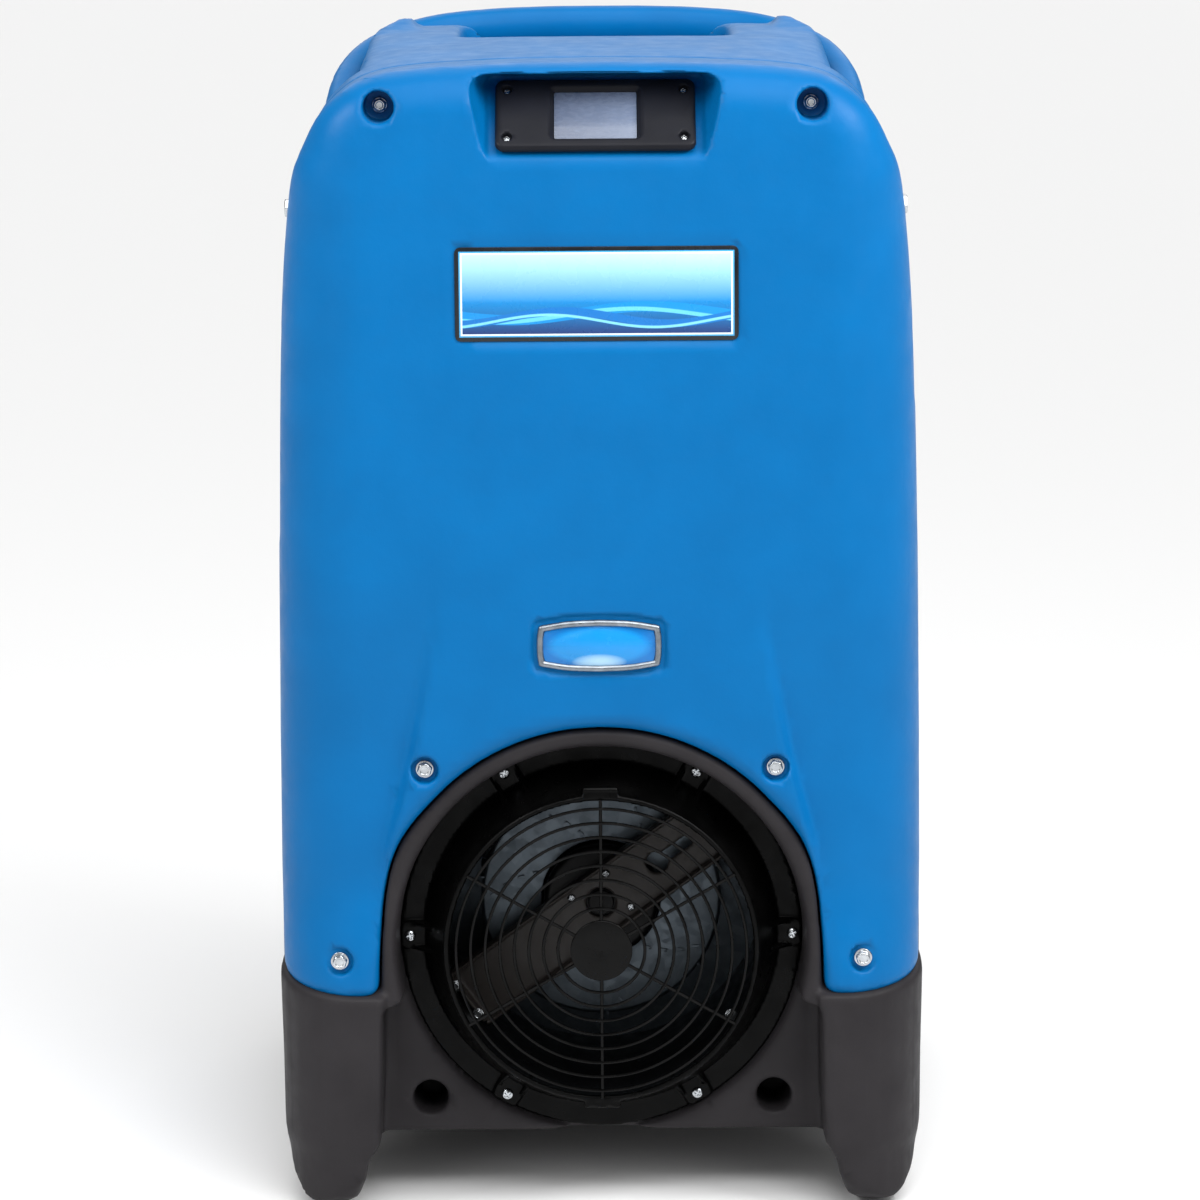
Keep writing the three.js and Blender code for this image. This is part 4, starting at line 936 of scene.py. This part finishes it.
def make_tyre(side, word):
    """A solid rubber tyre: rounded shoulders, side bead and four tread grooves."""
    grooves = []
    for x in (217, 223.5, 231.5, 238):
        grooves += [(126.6, x - 1.6), (124.2, x - 1.1), (124.2, x + 1.1), (126.6, x + 1.6)]
    profile = ([(92, 207.5), (96, 205.6), (104, 205.2), (107, 206.2), (114, 207)]
               + [(121, 210), (125.2, 213.6)] + grooves
               + [(125.2, 241.4), (121, 245), (114, 248), (107, 248.8), (104, 249.8),
                  (96, 249.4), (92, 247.5)])
    profile = rounded(profile, 0.9, 2)
    form = Form().turned([(r, side * x) for r, x in profile], "x", (0, WHEEL_Y, WHEEL_Z), 128)
    return form.mesh(f"tyre_{word}_rubber", sharp=50)


def make_axle_cap(side, word):
    profile = [(8.2, 250.3), (13.6, 250.3), (13.9, 251.4), (12.5, 253), (9, 254.3), (4, 254.9),
               (0.01, 255), (0.01, 252.4), (8.2, 252.4)]
    form = Form().turned([(r, side * x) for r, x in profile], "x", (0, WHEEL_Y, WHEEL_Z), 48)
    return form.mesh(f"axle_cap_{word}_pressed")


# ---------------------------------------------------------------- rear fittings
FILTER_HALF, FILTER_LOW, FILTER_HIGH = 150.0, 430.0, 725.0


def make_filter():
    """Pleated media in a card frame, with a pull tab."""
    low, high = corners("air_filter")
    front, back = low[1] + 0.3, BACK - 2.3
    form = Form()
    pitch, thick = 12.0, 1.1
    count = int((2 * FILTER_HALF - 22) / pitch)
    start = -count * pitch / 2
    line = []
    for k in range(count * 2 + 1):
        line.append((start + k * pitch / 2, front + 5 if k % 2 else back - 3.5))
    line = np.array(line)
    both = np.vstack([line, line[::-1] + (0, thick)])
    rings = [[(x, y, z) for x, y in both] for z in (FILTER_LOW + 9, FILTER_HIGH - 9)]
    form.strip(rings)
    edge = FILTER_HALF - 0.5
    for u0, u1, v0, v1 in ((-edge, edge, FILTER_LOW + 0.5, FILTER_LOW + 12),
                           (-edge, edge, FILTER_HIGH - 12, FILTER_HIGH - 0.5),
                           (-edge, -edge + 12, FILTER_LOW + 12, FILTER_HIGH - 12),
                           (edge - 12, edge, FILTER_LOW + 12, FILTER_HIGH - 12)):
        form.plate(rectangle(u0, u1, v0, v1), front, back, 0.8)
    tab = rounded([(18, FILTER_HIGH - 40), (18, FILTER_HIGH - 37), (-18, FILTER_HIGH - 37),
                   (-18, FILTER_HIGH - 40)], 1)
    form.plate(tab, back - 8, high[1], 0.5)
    return form.mesh("air_filter_pleated")


def make_gland():
    y = BACK + 0.3
    profile = rounded([(5, y - 14), (10.4, y - 14), (10.4, y), (15.8, y), (15.8, y + 6),
                       (11, y + 7), (9, y + 15.8), (5, y + 15.8)], 1.4)
    form = Form().turned(profile, "y", (-120, 0, 300), 48)
    for k in range(12):
        a = 2 * math.pi * k / 12
        x, z = -120 + 15.2 * math.cos(a), 300 + 15.2 * math.sin(a)
        form.tube([(x, y + 1, z), (x, y + 3, z), (x, y + 5.4, z)], 0.75, sides=8)
    return form.mesh("cord_gland_moulded")


def make_barb():
    y = BACK + 0.3
    profile = [(4, y - 14), (8.4, y - 14), (8.4, y), (14, y), (14, y + 5), (6.5, y + 6),
               (7.6, y + 12.5), (6.3, y + 14), (7.6, y + 20.5), (6.2, y + 22), (7.4, y + 27),
               (5.6, y + 29.8), (4, y + 29.8)]
    form = Form().turned(rounded(profile, 0.5, 2), "y", (120, 0, 300), 48)
    return form.mesh("drain_barb_moulded")


def make_cord_wrap():
    low, high = corners("cord_wrap")
    y = BACK + 0.3
    grid = Grid((0, y - 2, low[2] - 2), (64, high[1] + 2, high[2] + 2), 1.2)
    plate = rounded_box(grid.x, grid.z - 361, 62, 31, 7)
    form = common(plate, slab(grid.y, y, y + 5), 1.5)
    arm = polygon(grid.y, grid.z, [(y + 2, 342), (y + 40, 352), (264.6, 352), (264.6, 398),
                                   (258.4, 398), (256.4, 362), (y + 2, 362)]) + 0.6
    form = join(form, common(arm - 0.6, np.abs(grid.x - 44) - 4, 2.2), 4)
    for z in (341, 381):
        hole = np.hypot(grid.x - 54, grid.z - z) - 2.2
        form = without(form, np.maximum(hole, y + 1 - grid.y), 0.8)
    return mesh_of("cord_wrap_moulded", grid, form, 0.08)


def make_intake_frame():
    """The tray behind the filter, with a grid of bars."""
    front, back = 125.5, BACK - WALL - 0.3
    form = Form()
    for x in np.linspace(-FILTER_HALF - 3, FILTER_HALF + 3, 5):
        bar = rectangle(x - 2.4, x + 2.4, FILTER_LOW - 4, FILTER_HIGH + 5)
        form.plate(bar, front, front + 3, 0.8)
    for z in np.linspace(FILTER_LOW - 1, FILTER_HIGH + 2, 5):
        form.plate(rectangle(-156, 156, z - 2.6, z + 2.6), front + 0.1, front + 3.1, 0.8)
    for x0, x1 in ((-156, -150.6), (150.6, 156)):
        side = rectangle(x0, x1, FILTER_LOW - 5, FILTER_HIGH + 6)
        form.plate(side, front, back, 0.6)
    for z0, z1 in ((FILTER_LOW - 5, FILTER_LOW - 0.4), (FILTER_HIGH + 0.4, FILTER_HIGH + 6)):
        form.plate(rectangle(-156, 156, z0, z1), front, back, 0.6)
    return form.mesh("intake_frame_moulded")


# ---------------------------------------------------------------- material recipes
def gloss_plastic(name, colour, roughness, specular=0.25):
    s = Surface(name, roughness)
    s.shader.inputs["Specular IOR Level"].default_value = specular
    s.colour(s.mix(s.mapped(s.noise(30, 4), 0, 1), linear(*colour),
                   linear(*(c + 5 for c in colour))))
    s.roughness(s.mapped(s.noise(11, 5), roughness - 0.05, roughness + 0.12))
    s.bump((s.noise(1.1, 2), 0.03), (s.noise(24, 2), 0.2))
    return s.material


def metal(name, colour, roughness, size, depth, dull=30):
    s = Surface(name, roughness, 1.0)
    dark = tuple(max(c - dull, 0) for c in colour)
    s.colour(s.mix(s.mapped(s.noise(6, 6), 0.0, 1.0), linear(*dark), linear(*colour)))
    s.roughness(s.mapped(s.noise(size * 4, 4), roughness - 0.08, roughness + 0.14))
    s.bump((s.noise(size, 3), depth))
    return s.material


def spangled_steel(name, light, dark):
    """Galvanised sheet: angular zinc crystals, each with its own shade and gloss."""
    s = Surface(name, 0.42, 0.85)
    cells = s.node("ShaderNodeTexVoronoi", Scale=1 / (7 * MM))
    s.link(s.places, cells.inputs["Vector"])
    split = s.node("ShaderNodeSeparateColor")
    s.link(cells.outputs["Color"], split.inputs["Color"])
    s.colour(s.mix(split.outputs[0], linear(*dark), linear(*light)))
    s.roughness(s.mapped(split.outputs[1], 0.34, 0.52, 0.0, 1.0))
    s.bump((s.noise(2.5, 3), 0.04))
    return s.material


def striped(name, dark, light, pitch, axis, metallic, roughness, depth=0.6):
    """Thin fins, pleats or board tracks: ridges across one axis. On fins the dark stripes are painted
    shade in the gaps between fins and the light stripes painted light on the fin edges; on the board
    they are printed tracks.
    """
    s = Surface(name, roughness, metallic)
    parts = s.axes()
    wave = s.math("SINE", s.math("MULTIPLY", parts[axis], 2 * math.pi / (pitch * MM)))
    # ridge stripes: on fins, painted shade in the gaps and painted light on the fin edges; on the
    # board, printed tracks
    ridge = s.mapped(wave, 0.0, 1.0, -1.0, 1.0)
    grime = s.mapped(s.noise(30, 4), 0.0, 0.45)
    s.colour(s.mix(grime, s.mix(ridge, linear(*dark), linear(*light)), linear(*dark)))
    s.roughness(s.mapped(s.noise(9, 4), roughness - 0.05, roughness + 0.15))
    s.bump((ridge, depth), (s.noise(3, 2), 0.05))
    return s.material


def rubber(name, colour):
    s = Surface(name, 0.78)
    s.shader.inputs["Specular IOR Level"].default_value = 0.3
    dust = s.mapped(s.noise(18, 6), 0.0, 1.0, 0.45, 0.8)
    s.colour(s.mix(dust, linear(*colour), linear(*(c + 22 for c in colour))))
    s.roughness(s.mapped(s.noise(5, 4), 0.66, 0.9))
    s.bump((s.noise(0.7, 3), 0.06), (s.noise(6, 3), 0.12))
    return s.material


def media(name):
    s = Surface(name, 0.95)
    fibre = s.noise(1.2, 6, (1, 1, 6))
    dust = s.mapped(s.noise(40, 5), 0.0, 0.6, 0.4, 0.75)
    tone = s.mix(s.mapped(fibre, 0, 1), linear(196, 197, 190), linear(226, 227, 221))
    s.colour(s.mix(dust, tone, linear(168, 166, 156)))
    s.bump((fibre, 0.25))
    return s.material


def screen_glass(name):
    """A switched-off pale display under a clear cover: painted light running from darker at the left
    to lighter at the right, pixel rows, smears.
    """
    s = Surface(name, 0.2)
    parts = s.axes()
    # painted light: the screen colour runs darker at the left and lighter at the right across its
    # width
    tone = s.mix(s.mapped(parts[0], 0.0, 1.0, -0.029, 0.029), linear(78, 87, 106),
                 linear(98, 109, 130))
    smear = s.mapped(s.noise(5, 6, (1, 0.3, 3)), 0.0, 0.5, 0.5, 0.8)
    s.colour(s.mix(smear, tone, linear(108, 120, 142)))
    s.roughness(s.mapped(s.noise(6, 6, (1, 0.3, 3)), 0.12, 0.4))
    s.shader.inputs["Coat Weight"].default_value = 0.3
    s.shader.inputs["Coat Roughness"].default_value = 0.08
    rows = s.math("SINE", s.math("MULTIPLY", parts[2], 2 * math.pi / (0.8 * MM)))
    s.bump((rows, 0.01))
    return s.material


def band(s, value, centre, half, soft):
    """1 near a value and 0 away from it."""
    away = s.math("ABSOLUTE", s.math("SUBTRACT", value, centre))
    return s.mapped(away, 1.0, 0.0, half, half + soft)


def printed_plate(name):
    """Label print: black edge, pale line, blue fading downwards, and soft crossing waves."""
    s = Surface(name, 0.25)
    parts = s.axes()
    high = corners("name_plate")[1]
    half, tall = high[0] * MM, (high[2] - LABEL_Z) * MM
    across = s.math("ABSOLUTE", parts[0])
    up = s.math("SUBTRACT", parts[2], float(LABEL_Z * MM))
    margin = s.math("MINIMUM", s.math("SUBTRACT", half, across),
                    s.math("SUBTRACT", tall, s.math("ABSOLUTE", up)))
    field = s.mix(s.mapped(up, 0.0, 1.0, -0.006, 0.03), linear(0, 128, 196), linear(178, 222, 240))
    field = s.mix(s.mapped(up, 1.0, 0.0, -0.028, -0.004), field, linear(14, 44, 104))
    for size, shift, level, width, tint in (
            (0.19, 0.4, -0.0135, 0.0034, linear(0, 132, 204)),
            (0.19, 0.75, -0.0150, 0.0012, linear(96, 190, 232)),
            (0.15, 2.6, -0.0165, 0.0026, linear(2, 108, 184)),
            (0.15, 3.0, -0.0190, 0.0007, linear(120, 200, 236))):
        angle = s.math("ADD", s.math("MULTIPLY", parts[0], 2 * math.pi / size), shift)
        wave = s.math("MULTIPLY", s.math("SINE", angle), 0.0045)
        crest = s.math("SUBTRACT", up, wave)
        field = s.mix(band(s, crest, level, width, 0.0004), field, tint)
    below = s.math("LESS_THAN", margin, 0.0052)
    field = s.mix(below, field, linear(218, 232, 240))
    field = s.mix(s.math("LESS_THAN", margin, 0.0040), field, linear(60, 150, 205))
    field = s.mix(s.math("LESS_THAN", margin, 0.0030), field, linear(6, 12, 20))
    s.colour(field)
    s.roughness(s.mapped(s.noise(16, 5), 0.2, 0.34))
    s.bump((s.noise(22, 2), 0.08), (s.noise(0.8, 2), 0.01))
    return s.material


def printed_badge(name):
    """Badge print: dark blue edge, mid blue field and a pale glow near the lower edge."""
    s = Surface(name, 0.22)
    parts = s.axes()
    up = s.math("SUBTRACT", parts[2], float(BADGE_Z * MM))
    far = s.math("ADD", s.math("POWER", s.math("DIVIDE", parts[0], 0.036), 2.0),
                 s.math("POWER", s.math("DIVIDE", up, 0.0135), 2.0))
    field = s.mix(s.mapped(far, 0.0, 1.0, 0.75, 1.15), linear(8, 132, 202), linear(0, 104, 176))
    low = s.math("ADD", s.math("POWER", s.math("DIVIDE", parts[0], 0.020), 2.0),
                 s.math("POWER", s.math("DIVIDE", s.math("ADD", up, 0.0115), 0.0058), 2.0))
    field = s.mix(s.mapped(low, 0.75, 0.0, 0.0, 1.0), field, linear(190, 226, 242))
    s.colour(field)
    s.roughness(s.mapped(s.noise(9, 5), 0.16, 0.3))
    s.bump((s.noise(14, 2), 0.05))
    return s.material


# ---------------------------------------------------------------- floor, light and camera
def make_stage():
    mesh = bpy.data.meshes.new("studio_floor")
    half = 30.0
    mesh.from_pydata([(-half, -half, 0), (half, -half, 0), (half, half, 0), (-half, half, 0)],
                     [], [(0, 1, 2, 3)])
    floor = bpy.data.objects.new("studio_floor", mesh)
    bpy.context.scene.collection.objects.link(floor)
    paint = Surface("studio_floor_paint", 0.9)
    paint.colour((0.82, 0.82, 0.82, 1))
    paint.shader.inputs["Specular IOR Level"].default_value = 0.1
    mesh.materials.append(paint.material)


def softbox(name, place, aim, width, height, watts):
    data = bpy.data.lights.new(name, "AREA")
    data.shape = "RECTANGLE"
    data.size, data.size_y = width, height
    data.energy = watts
    lamp = bpy.data.objects.new(name, data)
    bpy.context.scene.collection.objects.link(lamp)
    lamp.location = place
    toward = Vector(place) - Vector(aim)
    lamp.rotation_euler = toward.to_track_quat("Z", "Y").to_euler()


def soft_sun(name, azimuth, elevation, strength, spread):
    """A broad distant light. Azimuth 0 is behind the camera, positive to the right."""
    data = bpy.data.lights.new(name, "SUN")
    data.energy = strength
    data.angle = math.radians(spread)
    lamp = bpy.data.objects.new(name, data)
    bpy.context.scene.collection.objects.link(lamp)
    across, up = math.radians(azimuth), math.radians(elevation)
    toward = Vector((math.sin(across) * math.cos(up), -math.cos(across) * math.cos(up),
                     math.sin(up)))
    lamp.rotation_euler = toward.to_track_quat("Z", "Y").to_euler()


def make_light():
    world = bpy.data.worlds.new("studio")
    bpy.context.scene.world = world
    world.use_nodes = True
    world.node_tree.nodes["Background"].inputs["Color"].default_value = (1, 1, 1, 1)
    world.node_tree.nodes["Background"].inputs["Strength"].default_value = 0.26
    soft_sun("overhead", 15, 66, 1.65, 45)
    soft_sun("front_left", -38, 26, 0.5, 40)
    soft_sun("front_right", 42, 32, 0.68, 40)
    soft_sun("rear_fill", 180, 40, 0.9, 60)
    softbox("high_front", (0.25, -1.5, 1.75), (0, -0.2, 0.75), 1.2, 0.8, 10)
    softbox("right_shoulder", (1.0, -0.7, 1.35), (0.2, -0.2, 0.8), 0.5, 0.5, 14)
    softbox("left_shoulder", (-1.0, -0.7, 1.35), (-0.2, -0.2, 0.8), 0.5, 0.5, 9)


def make_camera():
    distance = 3.0
    tilt, roll = math.radians(10.61), math.radians(-0.42)
    data = bpy.data.cameras.new("photo_camera")
    data.sensor_width = 36
    data.lens = 129.75
    camera = bpy.data.objects.new("photo_camera", data)
    bpy.context.scene.collection.objects.link(camera)
    turn = Matrix.Rotation(math.radians(90) - tilt, 4, "X") @ Matrix.Rotation(roll, 4, "Z")
    camera.matrix_world = Matrix.Translation((0.0008, FRONT * MM - distance, 1.016)) @ turn
    bpy.context.scene.camera = camera


# ---------------------------------------------------------------- assembly
FINISHES = {
    "blue_plastic": moulded_plastic("blue_rotomoulded", linear(0, 92, 150),
                                    linear(0, 97, 157), 0.38),
    "grey_plastic": moulded_plastic("grey_rotomoulded", linear(37, 35, 37),
                                    linear(44, 42, 44), 0.5),
    "black_plastic": gloss_plastic("black_moulded", (1, 1, 1), 0.3, 0.08),
    "bezel_plastic": moulded_plastic("bezel_moulded", linear(20, 21, 26),
                                     linear(26, 27, 33), 0.42, 0.02),
    "screen_glass": screen_glass("screen_cover"),
    "label_film": printed_plate("plate_print"),
    "badge_film": printed_badge("badge_print"),
    "silver_plastic": metal("satin_silver", (150, 156, 162), 0.34, 0.5, 0.01),
    "zinc_steel": metal("zinc_plated", (196, 200, 204), 0.15, 2.5, 0.01, 30),
    "galvanised_steel": spangled_steel("galvanised_sheet", (92, 100, 107), (82, 90, 97)),
    "black_wire": gloss_plastic("black_coated_wire", (1, 1, 1), 0.2, 0.12),
    "black_enamel": gloss_plastic("black_enamelled_steel", (5, 5, 6), 0.32, 0.15),
    "grey_enamel": gloss_plastic("grey_enamelled_steel", (50, 46, 44), 0.36, 0.3),
    "cast_aluminium": metal("cast_aluminium", (128, 131, 134), 0.5, 1.4, 0.08),
    # the fin stripes paint shade between the fins and light on their edges
    "fin_aluminium": striped("aluminium_fins", (96, 102, 106), (178, 186, 192), 2.0, 0, 0.9, 0.4),
    "copper": metal("copper_tube", (206, 132, 92), 0.32, 1.5, 0.02),
    "black_rubber": rubber("black_rubber", (16, 16, 17)),
    "tyre_rubber": rubber("tyre_rubber", (20, 20, 21)),
    "white_nylon": gloss_plastic("white_nylon", (214, 212, 204), 0.42),
    "filter_media": media("pleated_media"),
    "board_green": striped("circuit_board", (14, 58, 34), (30, 92, 54), 1.6, 0, 0.0, 0.35, 0.05),
}


def add_piece(mesh, node, slot, finish=None, replace=True):
    """Puts a mesh on the body of the CAD node it belongs to, in the place of that node."""
    piece = bpy.data.objects.new(mesh.name, mesh)
    bpy.context.scene.collection.objects.link(piece)
    mesh.materials.append(FINISHES[finish or slot])
    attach(piece, frame["nodes"][node]["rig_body"])
    if replace:
        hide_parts(node)


def add_shells():
    add_piece(make_front_shell(), "front_shell", "blue_plastic")
    add_piece(make_rear_shell(), "rear_shell", "blue_plastic")
    add_piece(make_base(), "base", "grey_plastic")
    add_piece(make_handle(), "handle", "blue_plastic")


def add_panel():
    add_piece(make_bezel(), "panel_bezel", "bezel_plastic")
    add_piece(make_name_plate(), "name_plate", "label_film")
    add_piece(make_badge_frame(), "badge_frame", "silver_plastic")
    add_piece(make_badge_insert(), "badge_insert", "label_film", "badge_film")
    for index, (x, v) in enumerate(PANEL_SCREWS, 1):
        seat = ON_PANEL @ Matrix.Translation((x, -4.9, v)) @ FACING_FRONT
        node = f"panel_screw_{index}"
        add_piece(pan_screw(f"{node}_head", seat, 2.9, 1.5), node, "zinc_steel")


def add_fasteners():
    for side, word in ((-1, "left"), (1, "right")):
        x, z = POCKETS
        seat = at(side * x, POCKET_FLOOR - 0.3, z, spin=side * 11)
        node = f"shell_bolt_top_{word}"
        add_piece(hex_bolt(f"{node}_hex", seat, 3.9, 5.6, 5.0), node, "zinc_steel")
        for name, (x, z), seat_y in (("mid", MID_BOLTS, MID_SEAT),
                                     ("low", LOW_BOLTS, LOW_SEAT)):
            node = f"shell_bolt_{name}_{word}"
            seat = at(side * x, seat_y, z, spin=side * 17)
            add_piece(hex_bolt(f"{node}_hex", seat), node, "zinc_steel")
        node = f"handle_bolt_{word}"
        outward = Matrix.Rotation(math.radians(90 * side), 4, "Y")
        seat = at(side * 219.3, PIVOT_Y, PIVOT_Z, outward, 8)
        add_piece(hex_bolt(f"{node}_hex", seat, 6.4, 10, 7.4), node, "zinc_steel")
    for index, degrees in enumerate(COLLAR_ANGLES, 1):
        a = math.radians(degrees)
        place = (COLLAR_SCREW_RADIUS * math.cos(a), FLANGE_Y - 7.2,
                 FAN_HEIGHT + COLLAR_SCREW_RADIUS * math.sin(a))
        node = f"collar_screw_{index}"
        add_piece(pan_screw(f"{node}_head", at(*place, spin=index * 25)), node, "zinc_steel")


def add_outlet():
    add_piece(make_collar(), "outlet_collar", "black_plastic")
    add_piece(make_guard(), "finger_guard", "black_wire")
    # the shroud takes black enamel in place of its galvanised slot: painted shade for the dark inside
    # of the duct
    add_piece(make_shroud(), "fan_shroud", "galvanised_steel", "black_enamel")
    add_piece(make_bracket(), "motor_bracket", "black_enamel", "grey_enamel")
    add_piece(make_motor(), "fan_motor", "cast_aluminium", "black_enamel")
    add_piece(make_impeller(), "fan_impeller", "galvanised_steel")
    for k, degrees in enumerate((45, 135, 225, 315)):
        a = math.radians(BRACKET_ANGLE + degrees)
        place = (22.5 * math.cos(a), BRACKET_Y, FAN_HEIGHT + 22.5 * math.sin(a))
        add_piece(pan_screw(f"bracket_screw_{k + 1}", at(*place, spin=20 * k), 3.4, 2.2),
                  "motor_bracket", "zinc_steel", replace=False)
    for k, (x, z) in enumerate(((-109.5, -59), (-104.6, -86), (-92.6, -81), (96.3, -83),
                                (104.5, -88))):
        seat = at(x, FRONT + 122, FAN_HEIGHT + z, spin=25 * k)
        add_piece(hex_bolt(f"duct_bolt_{k + 1}", seat, 3.0, 4.6, 3.6),
                  "motor_bracket", "zinc_steel", replace=False)


def add_wheels():
    for side, word in ((-1, "left"), (1, "right")):
        add_piece(make_hub(side, word), f"wheel_hub_{word}", "silver_plastic")
        add_piece(make_tyre(side, word), f"tyre_{word}", "tyre_rubber")
        add_piece(make_axle_cap(side, word), f"axle_cap_{word}", "zinc_steel")


def add_rear():
    add_piece(make_filter(), "air_filter", "filter_media")
    add_piece(make_intake_frame(), "intake_frame", "black_plastic")
    add_piece(make_gland(), "cord_gland", "black_plastic")
    add_piece(make_barb(), "drain_barb", "black_plastic")
    add_piece(make_cord_wrap(), "cord_wrap", "black_plastic")


# CAD nodes that keep their own shape, with the finish that each takes.
KEPT_NODES = {
    "handle_bush_left": "white_nylon", "handle_bush_right": "white_nylon",
    "panel_gasket": "black_rubber", "display_lens": "screen_glass",
    "display_module": "board_green", "fan_bulkhead": "galvanised_steel",
    "evaporator_coil": "fin_aluminium", "heat_exchanger": "fin_aluminium",
    "condenser_coil": "fin_aluminium", "drip_tray": "black_plastic",
    "compressor": "black_enamel", "accumulator": "black_enamel",
    "discharge_line": "copper", "suction_line": "copper", "condensate_pump": "black_plastic",
    "electrical_box": "galvanised_steel", "axle": "zinc_steel",
}


def finish_kept_nodes():
    for node, slot in KEPT_NODES.items():
        kept = frame["nodes"][node]
        for index in range(len(kept.material_slots)):
            kept.material_slots[index].material = FINISHES[slot]


bpy.context.scene.view_settings.view_transform = "Standard"
add_shells()
add_panel()
add_fasteners()
add_outlet()
add_wheels()
add_rear()
finish_kept_nodes()
make_stage()
make_light()
make_camera()
